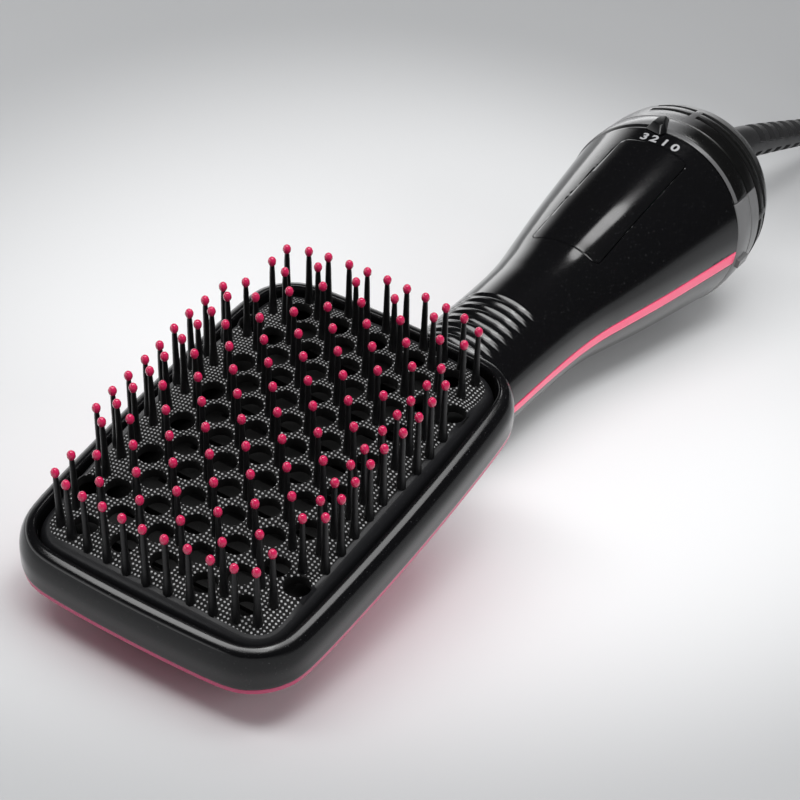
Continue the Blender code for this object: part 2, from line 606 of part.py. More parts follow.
thermo = [(THERMOSTAT_R, CROSS_REAR + CLEAR + THERMOSTAT_LONG), (THERMOSTAT_R, CROSS_REAR + CLEAR)]
add('thermostat', spun('thermostat', thermo, 16, True), 'steel', GRIP, BODY_ANGLE)

# Blower
add('motor', spun('motor', MOTOR, 20, True), 'steel', GRIP, BODY_ANGLE)
shaft = spun('motor_shaft', [(SHAFT_R, SHAFT_REAR), (SHAFT_R, SHAFT_FRONT)], 12, True)
add('motor_shaft', shaft, 'steel', GRIP, BODY_ANGLE)
fan = add('fan', spun('fan', FAN_HUB, 20), 'black_satin', GRIP, BODY_ANGLE)


def blade_mesh(turn):
    rings = []
    for radius in (FAN_HUB[0][0] - CLEAR, BLADE_OUT):
        ring = []
        for station, way, side in ((BLADE_REAR, -1, -1), (BLADE_FRONT, 1, -1), (BLADE_FRONT, 1, 1), (BLADE_REAR, -1, 1)):
            angle = math.radians(turn + way * BLADE_TWIST_ANGLE / 2 * FAN_HUB[0][0] / radius)
            thick = side * BLADE_THICK / 2
            ring.append((radius * math.cos(angle) - thick * math.sin(angle),
                         radius * math.sin(angle) + thick * math.cos(angle), station))
        rings.append(ring)
    return loft('blade', rings)


blades = merged('fan_blades', [blade_mesh(FULL_TURN * k / FAN_BLADES) for k in range(FAN_BLADES)])
bool_mod(fan, add('fan_blades', blades, frame=GRIP), 'UNION')
mount = add('motor_mount', spun('motor_mount', MOUNT_TUBE, 24), 'black_satin', GRIP, BODY_ANGLE)
fins = []
for index in range(MOUNT_FINS):
    fin = prism('fin', [(r, s) for r, s in MOUNT_FIN], -MOUNT_FIN_HALF, MOUNT_FIN_HALF, 'Y')
    fins.append(turned(fin, FULL_TURN * (index + 0.5) / MOUNT_FINS))
bool_mod(mount, add('mount_fins', merged('mount_fins', fins), frame=GRIP), 'UNION')

# Collar
add('collar_sleeve', spun('collar_sleeve', CORE, 24), 'black_satin', GRIP, BODY_ANGLE)


def sector_plan(name, start, stop):
    count = 12
    points = [(0, 0)]
    for index in range(count + 1):
        angle = math.radians(start + (stop - start) * index / count)
        points.append((REACH * math.sin(angle), -REACH * math.cos(angle)))
    return prism(name, points, RING[3][1] - WALL, RING[0][1] + WALL)


def radial_box(name, at, half, rear, front, low, high):
    return turned(box(name, -half, half, -high, -low, front, rear), at)


upper = add('dial_ring_upper', spun('dial_ring_upper', RING), 'black_gloss', GRIP, BODY_ANGLE)
upper_ends = (SECTOR_FROM_ANGLE + SECTOR_GAP_ANGLE, SECTOR_TO_ANGLE - SECTOR_GAP_ANGLE)
upper_plan = sector_plan('upper_sector', *upper_ends)
bool_mod(upper, add('upper_sector', upper_plan, frame=GRIP), 'INTERSECT')
pointer = turned(prism('pointer', POINTER_PLAN, POINTER_LOW, POINTER_HIGH, 'Y'), POINTER_ANGLE)
bool_mod(upper, add('pointer', pointer, frame=GRIP), 'UNION')
root_half, root_front, root_rear, root_low = POINTER_ROOT
root_high = POINTER_LOW + CLEAR
root = radial_box('pointer_root', POINTER_ANGLE, root_half, root_rear, root_front, root_low, root_high)
bool_mod(upper, add('pointer_root', root, frame=GRIP), 'UNION')
lower = add('dial_ring_lower', spun('dial_ring_lower', RING), 'black_satin', GRIP, BODY_ANGLE)
lower_ends = (SECTOR_TO_ANGLE + SECTOR_GAP_ANGLE, SECTOR_FROM_ANGLE + FULL_TURN - SECTOR_GAP_ANGLE)
lower_plan = sector_plan('lower_sector', *lower_ends)
bool_mod(lower, add('lower_sector', lower_plan, frame=GRIP), 'INTERSECT')
thumbs = [radial_box('thumb', at, THUMB_HALF, THUMB_REAR, THUMB_FRONT, THUMB_LOW, THUMB_HIGH)
          for at in THUMB_ANGLES]
bool_mod(lower, add('thumb_ribs', merged('thumb_ribs', thumbs), frame=GRIP), 'UNION')

# Rear cap with its slots, filter and lead exit
cap = add('rear_cap', spun('rear_cap', CAP), 'black_satin', GRIP, BODY_ANGLE)
vents = merged('vents', [spun('vent', [(VENT_HIGH, low), (VENT_LOW, low), (VENT_LOW, high), (VENT_HIGH, high)])
                         for low, high in VENT_ROWS])
vents = add('vents', vents, frame=GRIP)
bridge_rear, bridge_front = VENT_ROWS[1][1] + WALL, VENT_ROWS[0][0] - WALL
bridges = [radial_box('bridge', at, VENT_BRIDGE_HALF, bridge_rear, bridge_front, VENT_LOW - WALL, REACH / 4)
           for at in VENT_BRIDGE_ANGLES]
bool_mod(vents, add('vent_bridges', merged('vent_bridges', bridges), frame=GRIP))
bool_mod(cap, vents)
add('lint_filter', spun('lint_filter', FILTER, 24), 'steel', GRIP, BODY_ANGLE)
retainer = add('swivel_retainer', spun('swivel_retainer', RETAINER, 20), 'black_satin', GRIP, BODY_ANGLE)
posts = []
for sx, sy in ((1, 1), (1, -1), (-1, 1), (-1, -1)):
    post = spun('post', [(POST_R, RETAINER[0][1] + WALL / 2), (POST_R, RETAINER[0][1] - POST_LONG)], 6, True)
    post.transform(Matrix.Translation((sx * POST_AT_X * MM, sy * POST_AT_Y * MM, 0)))
    posts.append(post)
bool_mod(retainer, add('retainer_posts', merged('retainer_posts', posts), frame=GRIP), 'UNION')
board_rear = RETAINER[0][1] - POST_LONG - CLEAR
board_front = board_rear - BOARD_THICK
board = box('circuit_board', -BOARD_HALF_X, BOARD_HALF_X, -BOARD_HALF_Y, BOARD_HALF_Y, board_front, board_rear)
add('circuit_board', board, 'board', GRIP)
switch_rear = board_front - CLEAR
switch = box('selector_switch', -SWITCH_HALF_X, SWITCH_HALF_X, SWITCH_Y - SWITCH_HALF_Y,
             SWITCH_Y + SWITCH_HALF_Y, switch_rear - SWITCH_LONG, switch_rear)
add('selector_switch', switch, 'black_satin', GRIP)
add('cord_swivel', spun('cord_swivel', SWIVEL, SWIVEL_STEPS, True), 'black_satin', GRIP, BODY_ANGLE)


# Strain relief: a drooping sleeve with ribs, built in the upright plane
def relief_point(station, rise):
    place = GRIP.matrix_world @ (Vector((0, -rise, station)) * MM)
    return Vector(v / MM for v in place)


def along(distance):
    for (s0, u0), (s1, u1) in zip(RELIEF_PATH, RELIEF_PATH[1:]):
        if s0 <= distance <= s1:
            share = (distance - s0) / (s1 - s0)
            return relief_point(distance, u0 + (u1 - u0) * share), relief_point(s1, u1) - relief_point(s0, u0)
    raise ValueError('station off the strain relief')


relief_line = [tuple(relief_point(s, u)) for s, u in RELIEF_PATH]
first, last = RELIEF_PATH[0][0], RELIEF_PATH[-1][0]
taper = [1 + (RELIEF_R_REAR / RELIEF_R_FRONT - 1) * (s - first) / (last - first) for s, u in RELIEF_PATH]
taper = [share if s < RIB_FIRST else share * RELIEF_CORE_SHARE for (s, u), share in zip(RELIEF_PATH, taper)]
relief = add('strain_relief', tube('strain_relief', relief_line, RELIEF_R_FRONT, 8, taper), 'rubber', None, RELIEF_ANGLE)
ribs = []
for index in range(RIBS):
    station = RIB_FIRST + index * RIB_PITCH
    centre, heading = along(station)
    radius = RIB_R_FRONT + (RIB_R_REAR - RIB_R_FRONT) * index / (RIBS - 1)
    rib = spun('rib', [(radius, RIB_HALF), (radius, -RIB_HALF)], 8, True)
    rib.transform(Matrix.Translation(centre * MM) @ heading.to_track_quat('Z', 'Y').to_matrix().to_4x4())
    ribs.append(rib)
bool_mod(relief, add('relief_ribs', merged('relief_ribs', ribs)), 'UNION')

# Free lead, hank and plug
relief_end, relief_heading = along(RELIEF_PATH[-1][0])
cord_line = [tuple(relief_end + relief_heading.normalized() * SEAM)]
cord_line += [(x, y + Y_SHIFT, z) for x, y, z in CORD_PATH]
add('cord', tube('cord', cord_line, CORD_R, 8), 'rubber', None, CORD_ANGLE)


def ring_point(turns, radius, height):
    angle = math.pi - 2 * math.pi * turns
    return (HANK_X + radius * math.cos(angle), HANK_Y + Y_SHIFT + radius * math.sin(angle), height)


def hank_path():
    points, turns, height = [], 0.0, HANK_LOW
    spiral, climb = round(HANK_TURNS * HANK_POINTS), round(HANK_CLIMB_TURNS * HANK_POINTS)
    radius, step = HANK_OUT, -HANK_PITCH / HANK_POINTS
    for layer in range(HANK_LAYERS):
        for index in range(spiral):
            points.append(ring_point(turns, radius, height))
            turns += 1 / HANK_POINTS
            radius += step
        if layer == HANK_LAYERS - 1:
            break
        for index in range(climb):
            rise = HANK_RISE * (1 - math.cos(math.pi * index / climb)) / 2
            points.append(ring_point(turns, radius, height + rise))
            turns += 1 / HANK_POINTS
        height += HANK_RISE
        step = -step
    points.append(ring_point(turns, radius, height))
    for radius, rise in HANK_EXIT:
        turns += 1 / HANK_POINTS
        points.append(ring_point(turns, radius, height + rise))
    angle = math.pi - 2 * math.pi * turns
    way = Vector((math.sin(angle), -math.cos(angle), 0))
    inward = Vector((-math.cos(angle), -math.sin(angle), 0))
    end = Vector((*points[-1][:2], height))
    for ahead, aside, rise in TAIL:
        points.append(tuple(end + way * ahead + inward * aside + Vector((0, 0, rise))))
    return points


def least_gap(path, radius):
    least = REACH
    for i in range(len(path) - 1):
        for j in range(i + 5, len(path) - 1):
            start, span = Vector(path[j]), Vector(path[j + 1]) - Vector(path[j])
            for share in (0.0, 0.5, 1.0):
                point = Vector(path[i]).lerp(Vector(path[i + 1]), share)
                near = max(0.0, min(1.0, (point - start).dot(span) / span.length_squared))
                least = min(least, (point - start - span * near).length - 2 * radius)
    return least


hank = hank_path()
print('least gap of the hank to itself, mm:', round(least_gap(hank, CORD_R), 3))
lead = sum((Vector(b) - Vector(a)).length for line in (cord_line, hank) for a, b in zip(line, line[1:]))
print('lead length, mm:', round(lead))
add('cord_hank', tube('cord_hank', hank, CORD_R, 6), 'rubber', None, CORD_ANGLE)
plug_x, plug_y = hank[-1][0], hank[-1][1] - SEAM
plug_left, plug_right = plug_x - PLUG_HALF_WIDE, plug_x + PLUG_HALF_WIDE
plug = box('plug_body', plug_left, plug_right, plug_y - PLUG_LONG, plug_y, 0, PLUG_HIGH)
plug = add('plug_body', plug, 'rubber')
rounding = plug.modifiers.new('rounding', 'BEVEL')
rounding.width = PLUG_BEVEL * MM
rounding.segments = 2
rounding.limit_method = 'ANGLE'
blade_y = plug_y - PLUG_LONG - SEAM
for side, name in ((-1, 'plug_blade_left'), (1, 'plug_blade_right')):
    middle = plug_x + side * BLADE_HALF_GAP
    blade = box(name, middle - BLADE_FLAT / 2, middle + BLADE_FLAT / 2, blade_y - BLADE_LONG, blade_y,
                (PLUG_HIGH - BLADE_WIDE) / 2, (PLUG_HIGH + BLADE_WIDE) / 2)
    add(name, blade, 'nickel')
bpy.context.view_layer.update()
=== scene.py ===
"""Hot air brush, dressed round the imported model. Lengths in the tables are millimetres."""

import math

import bmesh
import bpy
from bpy.props import FloatProperty, FloatVectorProperty, PointerProperty
from mathutils import Matrix, Vector


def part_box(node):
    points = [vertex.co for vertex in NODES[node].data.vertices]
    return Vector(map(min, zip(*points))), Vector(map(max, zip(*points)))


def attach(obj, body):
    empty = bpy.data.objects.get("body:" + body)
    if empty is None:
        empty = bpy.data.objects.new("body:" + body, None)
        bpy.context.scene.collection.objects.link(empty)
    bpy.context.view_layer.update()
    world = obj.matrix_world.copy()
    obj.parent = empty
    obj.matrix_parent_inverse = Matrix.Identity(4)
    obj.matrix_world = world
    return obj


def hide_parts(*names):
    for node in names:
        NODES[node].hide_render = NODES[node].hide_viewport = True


bl_info = {
    "name": "Hot air brush",
    "version": (1, 0, 0),
    "blender": (4, 5, 0),
    "location": "3D View > Sidebar > Air brush",
    "description": "Dresses the hot air brush, one button for each piece",
    "category": "Object",
}

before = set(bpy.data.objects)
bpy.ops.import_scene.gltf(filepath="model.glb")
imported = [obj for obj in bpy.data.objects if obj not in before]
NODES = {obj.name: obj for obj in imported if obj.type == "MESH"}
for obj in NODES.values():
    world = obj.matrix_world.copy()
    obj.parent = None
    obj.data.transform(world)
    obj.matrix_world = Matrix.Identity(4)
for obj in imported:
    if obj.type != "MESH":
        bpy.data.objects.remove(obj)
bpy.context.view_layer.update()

MM = 0.001
TURN = 2 * math.pi
MEET = 0.002  # points nearer than this, in millimetres, become one

# Frames of the head and the grip, from millimetres to the room
SHIFT = -183.4
HEAD_PLACE, HEAD_TILT = (0.0, 50.91 + SHIFT, 50.68), 16.5
GRIP_PLACE, GRIP_TILT = (0.0, 312.6 + SHIFT, 36.0), -84.0
ROOM = Matrix.Scale(MM, 4)
HEAD = ROOM @ Matrix.Translation(HEAD_PLACE) @ Matrix.Rotation(math.radians(HEAD_TILT), 4, "X")
GRIP = ROOM @ Matrix.Translation(GRIP_PLACE) @ Matrix.Rotation(math.radians(GRIP_TILT), 4, "X")

# Paddle outline, measured on the lip of the bumper
LIP_HALF_X, LIP_HALF_Y, LIP_CORNER = 45.6, 67.7, 14.0
BOW_X_SHARE, BOW_Y_SHARE = 0.045, 0.025
CORNER_STEPS, SIDE_STEPS = 14, 14
BUMPER_ROLL = [
    (-2.45, -8.8), (-2.4, -7.3), (-2.2, -6.2), (-1.75, -5.6), (-1.1, -5.55), (-0.2, -5.85), (0.7, -6.25),
    (1.3, -6.75), (1.75, -7.4), (2.3, -8.4), (2.9, -9.9), (3.35, -11.6), (3.5, -13.4), (3.5, -15.6), (3.5, -17.6),
    (3.35, -18.05),
]
BUMPER_FOOT = [(3.05, -18.2), (1.2, -18.2), (1.2, -16.0), (-6.8, -16.0), (-6.8, -13.35), (-2.65, -13.35)]
PLATE_INSET = 3.0
PLATE_ROLL = [(0.05, -8.6), (0.25, -5.0), (0.9, -2.8), (1.7, -1.75), (2.6, -1.15)]
PLATE_SKIRT, PLATE_THICK, PLATE_FLANGE = -13.0, 3.2, 2.2
WEAVE_INSET, BEAD_PITCH = 3.7, 1.245
DOME_X, DOME_Y, FRONT_LIFT, FRONT_LIFT_FROM = 0.00161, 0.00113, 1.5, 44.0

# Air holes and pins
PITCH_X, PITCH_Y, ROWS, FIRST_ROW = 6.7, 7.586, 15, -53.1
EVEN_ROW, ODD_ROW = [-3, -1, 1, 3], [-4, -2, 0, 2, 4]
HOLE_R, HOLE_SIDES = 3.9, 32
HOLE_RIM = [(0.22, 0.0), (0.06, -0.08), (0.0, -0.3), (0.0, -PLATE_THICK)]
CORNER_HOLES = [(35.0, -40.2), (35.5, 40.2)]
FRONT_PINS = [(0, -61.0), (6.9, -60.7), (13.9, -60.0), (20.9, -59.6), (27.5, -58.3), (33.0, -56.0)]
BACK_PINS = [(0, 59.7), (6.9, 59.6), (13.3, 59.6), (20.5, 59.3), (27.1, 58.7), (33.4, 56.3)]
INNER_PINS = [
    (33.1, -48.7), (33.2, -34.8), (33.8, -27.1), (33.6, -19.8), (33.6, -12.0), (33.6, -5.0),
    (33.8, 3.7), (33.8, 11.3), (33.9, 18.3), (34.1, 26.5), (33.6, 35.1), (33.3, 48.3),
]
OUTER_PINS = [
    (38.0, -31.0), (38.1, -23.4), (37.9, -16.3), (37.8, -8.6), (37.8, -1.6), (38.7, 6.6),
    (39.0, 14.4), (38.7, 21.8), (38.1, 30.0),
]
SPLAY_SHARE = 0.05
STALK = [(1.5, -1.6), (1.5, 0.5), (1.25, 3.2), (1.0, 8.0), (0.85, 16.0), (0.72, 18.7), (0.7, 19.6)]
STALK_SIDES, TIP_SIDES, TIP_RINGS = 8, 10, 7
TIP_AT, TIP_R, TIP_TALL = 20.2, 1.3, 1.7

# Back shell
HULL_OFFSET, HULL_TOP, HULL_LIP, HULL_STEPS, HULL_WALL = 3.1, -18.5, 1.5, 24, 2.2
FRONT_SLOPE, SIDE_SLOPE, FRONT_SHARE, KNEE_DROP_SHARE, KNEE_RUN_SHARE = 30.0, 48.0, 1.2, 0.95, 0.9
FOOT_Y, FOOT_HALF_X, FOOT_HALF_Y, FOOT_CORNER = 85.0 + SHIFT, 16.0, 27.0, 13.0
SOCKET = [(12.8, -190.6), (14.7, -190.6), (15.0, -191.0), (14.4, -200.0), (13.6, -212.0)]
SOCKET_STEPS, SOCKET_WALL = 96, 1.4

# Grip
GRIP_STEPS = 144
GRIP_SKIN = [
    (35.65, 0.0), (34.9, -5.3), (33.68, -14.0), (32.39, -23.0), (31.15, -31.5), (29.87, -40.0), (28.69, -47.5),
    (27.41, -55.0), (26.16, -62.0), (24.75, -70.0), (23.5, -77.0), (22.65, -83.0), (21.95, -90.0), (21.5, -97.0),
    (21.1, -110.0), (21.0, -124.0), (21.0, -142.0), (20.6, -158.0), (18.6, -176.0), (16.2, -190.0),
]
BELLY_END = [(19.1, -158.0), (17.0, -176.0), (15.3, -190.0)]
SKIN_WALL = 1.6
STRIPE_TOP, STRIPE_WIDE, STRIPE_NARROW, STRIPE_PROUD, SEAM = 0.2, 5.0, 2.4, 0.15, 0.3
GROOVES, GROOVE_FIRST, GROOVE_PITCH, GROOVE_DEEP, GROOVE_REACH = 9, -118.2, 4.7, 1.1, 42.0
GROOVE_WIDE_SHARE, GROOVE_EASE, GROOVE_STEP = 0.62, 0.8, 0.35
PANEL_HALF, PANEL_REAR, PANEL_FRONT, PANEL_CORNER, PANEL_WALL = 13.3, -8.5, -76.0, 3.0, 1.1
MARKS = "3210"
MARK_TURNS, MARK_AT, MARK_TALL, MARK_RAISED = [-10.5, -4.0, 3.0, 10.0], -5.6, 4.2, 0.06
FIGURE_SHARE, FIGURE_BOLD = 0.72, 0.16

# Dial, cap and swivel
RING = [(32.15, 0.8), (35.5, 0.8), (36.3, 2.3), (36.4, 6.0), (36.3, 10.2), (36.0, 11.0), (32.15, 11.0)]
RING_RIM, RING_TURN_STEP, COLLAR_EDGE = 2.2, 2, 0.2
DIAL_FROM, DIAL_TO, DIAL_GAP = -75.0, 60.0, 0.3
POINTER_TURN, POINTER_EDGE = -7.2, 0.45
POINTER = [(3.0, -3.6), (4.4, -0.4), (0.4, 10.9), (-1.0, 11.2), (-3.9, 8.6), (-4.1, -0.8)]
POINTER_LOW, POINTER_HIGH, RIDGE, RIDGE_SHARE = 35.7, 38.6, (0.4, 3.0), 0.55
THUMB_TURNS, THUMB = [99.5, -110.0], (1.6, 2.2, 9.6, 34.0, 37.7)
CAP = [
    (32.15, 11.3), (35.9, 11.3), (36.2, 11.7), (36.05, 14.6), (35.9, 18.2), (35.75, 20.8), (35.3, 23.8), (34.85, 26.4),
    (34.0, 28.8), (32.9, 32.0), (31.0, 35.7), (27.5, 38.0), (22.0, 39.5), (11.2, 40.0), (10.6, 39.6),
]
CAP_STEPS, CAP_WALL, CAP_FLANK = 180, 1.9, 25
VENT_ROWS = [(18.2, 20.8), (23.8, 26.4)]
VENT_BRIDGES = [(-80, -26), (0, 4), (78, 82), (138, 142), (218, 222)]
SWIVEL = [
    (7.5, 31.0), (11.4, 32.6), (12.5, 35.0), (12.5, 37.0), (10.2, 37.2), (10.2, 40.6), (10.0, 41.4),
    (9.6, 44.0), (8.4, 56.0), (7.5, 67.4), (7.0, 68.0),
]
SWIVEL_STEPS = 64

# Lead
RELIEF_PATH = [
    (68.8, 0.0), (73.0, -0.2), (80.0, -1.5), (87.0, -3.5), (94.5, -5.9), (102.0, -8.4), (117.0, -13.5),
    (132.0, -18.7), (147.0, -23.9), (161.0, -28.8),
]
CORD_R, PLUG_ROUND = 3.5, 4.0
CORD_PATH = [
    (0.0, 485.5, 21.7), (0.1, 495.5, 18.9), (0.3, 505.5, 15.8), (0.6, 515.5, 12.7), (1.0, 525.5, 9.9),
    (1.4, 535.5, 7.6), (1.7, 545.5, 5.9), (1.9, 555.5, 4.8), (2.0, 567.5, 4.35), (2.0, 580.5, 4.3),
    (2.0, 592.8, 4.3),
]
HANK_X, HANK_Y, HANK_OUT, HANK_PITCH, HANK_TURNS, HANK_LAYERS = 47.4, 593.5 + SHIFT, 45.4, 8.0, 1.375, 4
HANK_CLIMB, HANK_POINTS, HANK_LOW, HANK_RISE = 0.25, 24, 4.3, 7.6
HANK_EXIT = [(46.6, 0.0), (48.2, -0.1), (50.0, -0.4), (51.8, -0.9), (53.0, -1.6), (53.6, -2.6)]
TAIL = [
    (8.0, 0.0, -4.0), (18.0, 0.0, -6.4), (28.0, 0.8, -9.2), (38.0, 2.6, -12.1), (48.0, 5.0, -14.8),
    (58.0, 7.2, -16.9), (68.0, 8.0, -18.0), (76.0, 8.0, -18.1),
]
TIE_HALF, TIE_ROOM, TIE_THICK, TIE_LOW, TIE_CORNER, TIE_REACH = 4.0, 0.7, 0.4, 0.15, 4.0, 6
RELIEF_RADII, RELIEF_CORE_SHARE, RELIEF_DEEP = (7.0, 5.6), 0.55, 4.4
RELIEF_BAND, BAND_EASE, RELIEF_TURN_STEP = 20.0, 4, 12
RIB_FIRST, RIB_PITCH, RIBS, RIB_HALF, RIB_LAP, RIB_CLEAR = 84.0, 12.0, 7, 2.8, 0.2, 0.3

# Camera, fitted to the pin lattice
EYE = (0.2797, -0.6498, 0.4001)
EYE_RIGHT, EYE_UP = (0.84654, 0.50403, 0.17133), (-0.38169, 0.35031, 0.85535)
LENS, SENSOR = 108.0, 36.0

# Table: its colour is a painted pool of light, lightest round the brush; each fade is a direction across it, a reach in
# metres and the lowest share that it may have
FLOOR_HALF, FLOOR_POOL_LIT, FLOOR_POOL_SHADED = 4.0, (0.79, 0.794, 0.8, 1), (0.4, 0.405, 0.412, 1)
FLOOR_FADES = [((-0.4255, 0.905), 0.36, 0.0), ((0.697, -0.717), 0.2, 0.0), ((0.905, 0.4255), 0.245, -9.0)]
FADE_FULL, FADE_ENDS, CLOUD_SCALE, CLOUD_SHARE = 1.15, (0.6, 2.2), 2.2, 0.1

# Room: its plain light, and the pale low band on the left that gloss mirrors
ROOM_LIGHT, BAND_LIGHT, BAND_DARK = (0.38, 0.383, 0.388, 1), (2.2, 2.21, 2.22, 1), (0.01, 0.01, 0.01, 1)
BAND_LEFT, BAND_DROP, BAND_FADE = (0.1, -0.5), -0.42, (-0.35, 0.06)

# Lamps: name, shape, place, aim, sizes, roll in degrees, watts, and whether gloss mirrors the lamp
LAMPS = [
    ("key_lamp", "RECTANGLE", (0.03, -0.36, 1.25), (0.03, -0.34, 0.0), (1.26, 1.02), 0.0, 2.0, True),
    ("front_strip", "RECTANGLE", (-0.25, -0.6, 1.2), (-0.25, -0.59, 0.0), (1.15, 0.38), 15.6, 9.4, True),
    ("side_strip", "RECTANGLE", (0.29, 0.0, 1.2), (0.29, 0.01, 0.0), (0.95, 0.36), 76.0, 5.6, True),
    ("side_lamp", "RECTANGLE", (-0.7, 0.5, 1.5), (0.0, 0.0, 0.0), (1.2, 1.2), 0.0, 2.5, False),
    ("fill_lamp", "RECTANGLE", (1.1, 0.0, 0.55), (0.0, 0.05, 0.03), (0.7, 0.7), 0.0, 4.4, False),
    ("streak_lamp", "ELLIPSE", (0.0, 0.8, 1.386), (0.008, 0.069, 0.058), (0.36, 0.15), 0.0, 0.85, True),
]


# Modelling helpers
def verts_in(parts):
    return [part for part in parts if isinstance(part, bmesh.types.BMVert)]


def edges_within(verts):
    members = set(verts)
    return [edge for edge in {edge for vert in verts for edge in vert.link_edges}
            if edge.verts[0] in members and edge.verts[1] in members]


def everything(work):
    return work.verts[:] + work.edges[:] + work.faces[:]


def eased(points, steps=5):
    """A smooth line through the points."""
    places = [Vector(point) for point in points]
    places = [2 * places[0] - places[1]] + places + [2 * places[-1] - places[-2]]
    line = []
    for a, b, c, d in zip(places, places[1:], places[2:], places[3:]):
        for step in range(steps):
            t = step / steps
            line.append(0.5 * (2 * b + (c - a) * t + (2 * a - 5 * b + 4 * c - d) * t ** 2
                               + (3 * b - a - 3 * c + d) * t ** 3))
    return line + [places[-2]]


def relaxed(points, rounds=5):
    """A closed line with its changes of bend evened out."""
    for _ in range(rounds):
        count = len(points)
        points = [tuple((points[i - 1][k] + 2 * points[i][k] + points[(i + 1) % count][k]) / 4 for k in range(2))
                  for i in range(count)]
    return points


def outline(half_x, half_y, corner):
    rounds = []
    for sx, sy, start in ((1, -1, -90), (1, 1, 0), (-1, 1, 90), (-1, -1, 180)):
        turns = [math.radians(start + 90 * step / CORNER_STEPS) for step in range(CORNER_STEPS + 1)]
        rounds.append([(sx * (half_x - corner) + corner * math.cos(t), sy * (half_y - corner) + corner * math.sin(t))
                       for t in turns])
    points = []
    for here, after in zip(rounds, rounds[1:] + rounds[:1]):
        points += here
        for step in range(1, SIDE_STEPS):
            share = step / SIDE_STEPS
            points.append(tuple(a + (b - a) * share for a, b in zip(here[-1], after[0])))
    return points


def paddle(offset):
    flat = outline(LIP_HALF_X + offset, LIP_HALF_Y + offset, max(LIP_CORNER + offset, 1.0))
    return relaxed([(x * (1 - BOW_X_SHARE * (y / LIP_HALF_Y) ** 2), y * (1 - BOW_Y_SHARE * (x / LIP_HALF_X) ** 2))
                    for x, y in flat])


def dome(x, y):
    lift = FRONT_LIFT * (max(0.0, -y - FRONT_LIFT_FROM) / (LIP_HALF_Y - FRONT_LIFT_FROM)) ** 2
    return lift - DOME_X * x ** 2 - DOME_Y * y ** 2


def ring(work, points):
    order = work.verts.layers.int.get("order") or work.verts.layers.int.new("order")
    made = bmesh.ops.create_circle(work, segments=len(points), radius=1.0)["verts"]
    for index, (vert, point) in enumerate(zip(made, points)):
        vert[order] = index
        vert.co = point
    return edges_within(made)


def drawn_to(work, edges, points):
    """Extrudes a ring of edges to a like ring of places."""
    order = work.verts.layers.int["order"]
    grown = bmesh.ops.extrude_edge_only(work, edges=edges)["geom"]
    verts = verts_in(grown)
    for vert in verts:
        vert.co = points[vert[order]]
    return edges_within(verts)


def lofted(work, rings, looped=False):
    edges = first = ring(work, rings[0])
    for points in rings[1:] + (rings[:1] if looped else []):
        edges = drawn_to(work, edges, points)
    return first, edges


def spun(work, profile, steps=GRIP_STEPS, first=0.0, last=360.0):
    """Spins (radius, station) points about the axis of the grip, between turns counted from its top."""
    lean = math.radians(first - 90)
    verts = [work.verts.new((radius * math.cos(lean), radius * math.sin(lean), station)) for radius, station in profile]
    links = [work.edges.new(pair) for pair in zip(verts, verts[1:])]
    whole = last - first >= 360
    bmesh.ops.spin(work, geom=verts + links, cent=(0, 0, 0), axis=(0, 0, 1), dvec=(0, 0, 0),
                   angle=math.radians(last - first), steps=steps, use_merge=whole, use_duplicate=False)


def trimmed(work, place, normal):
    """Cuts away what lies on the side that the normal points to."""
    bmesh.ops.bisect_plane(work, geom=everything(work), dist=MM * MM, plane_co=place, plane_no=normal, clear_outer=True)


def welded(work):
    bmesh.ops.remove_doubles(work, verts=work.verts, dist=MEET)
    bmesh.ops.recalc_face_normals(work, faces=work.faces)


def walled(work, thickness):
    """Gives an open skin, whose faces point outwards, a wall on its inner side."""
    welded(work)
    bmesh.ops.solidify(work, geom=work.faces[:], thickness=thickness)


def broken_edges(work, width, angle=50.0, segments=2):
    """Rounds the edges that turn by more than the angle."""
    limit = math.radians(angle)
    edges = [edge for edge in work.edges if len(edge.link_faces) == 2 and edge.calc_face_angle() > limit]
    bmesh.ops.bevel(work, geom=edges, offset=width, offset_type="OFFSET", affect="EDGES", segments=segments,
                    profile=0.5, material=-1, clamp_overlap=True)


def copied(work, mesh):
    work.from_mesh(mesh)
    bpy.data.meshes.remove(mesh)


def piece(name, work, looks, place, body, stands_for, sharp=40.0):
    bmesh.ops.transform(work, matrix=place, verts=work.verts)
    mesh = bpy.data.meshes.new(name)
    work.to_mesh(mesh)
    work.free()
    for key in looks:
        mesh.materials.append(look(key))
    mesh.shade_smooth()
    mesh.set_sharp_from_angle(angle=math.radians(sharp))
    made = bpy.data.objects.new(name, mesh)
    bpy.context.scene.collection.objects.link(made)
    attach(made, body)
    if stands_for:
        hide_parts(*stands_for)
    return made


# Materials
def put(tree, kind, **settings):
    node = tree.nodes.new(kind)
    for name, value in settings.items():
        setattr(node, name, value)
    return node


def feed(tree, socket, value):
    if isinstance(value, bpy.types.NodeSocket):
        tree.links.new(value, socket)
    elif value is not None:
        socket.default_value = value


def maths(tree, operation, first, second=None, third=None, clamp=False):
    node = put(tree, "ShaderNodeMath", operation=operation, use_clamp=clamp)
    for socket, value in zip(node.inputs, (first, second, third)):
        feed(tree, socket, value)
    return node.outputs[0]


def noise(tree, place, scale, detail=3.0, roughness=0.55, stretch=None):
    if stretch:
        mapping = put(tree, "ShaderNodeMapping")
        feed(tree, mapping.inputs["Vector"], place)
        mapping.inputs["Scale"].default_value = stretch
        place = mapping.outputs["Vector"]
    node = put(tree, "ShaderNodeTexNoise")
    feed(tree, node.inputs["Vector"], place)
    feed(tree, node.inputs["Scale"], scale)
    node.inputs["Detail"].default_value = detail
    node.inputs["Roughness"].default_value = roughness
    return node.outputs["Fac"]


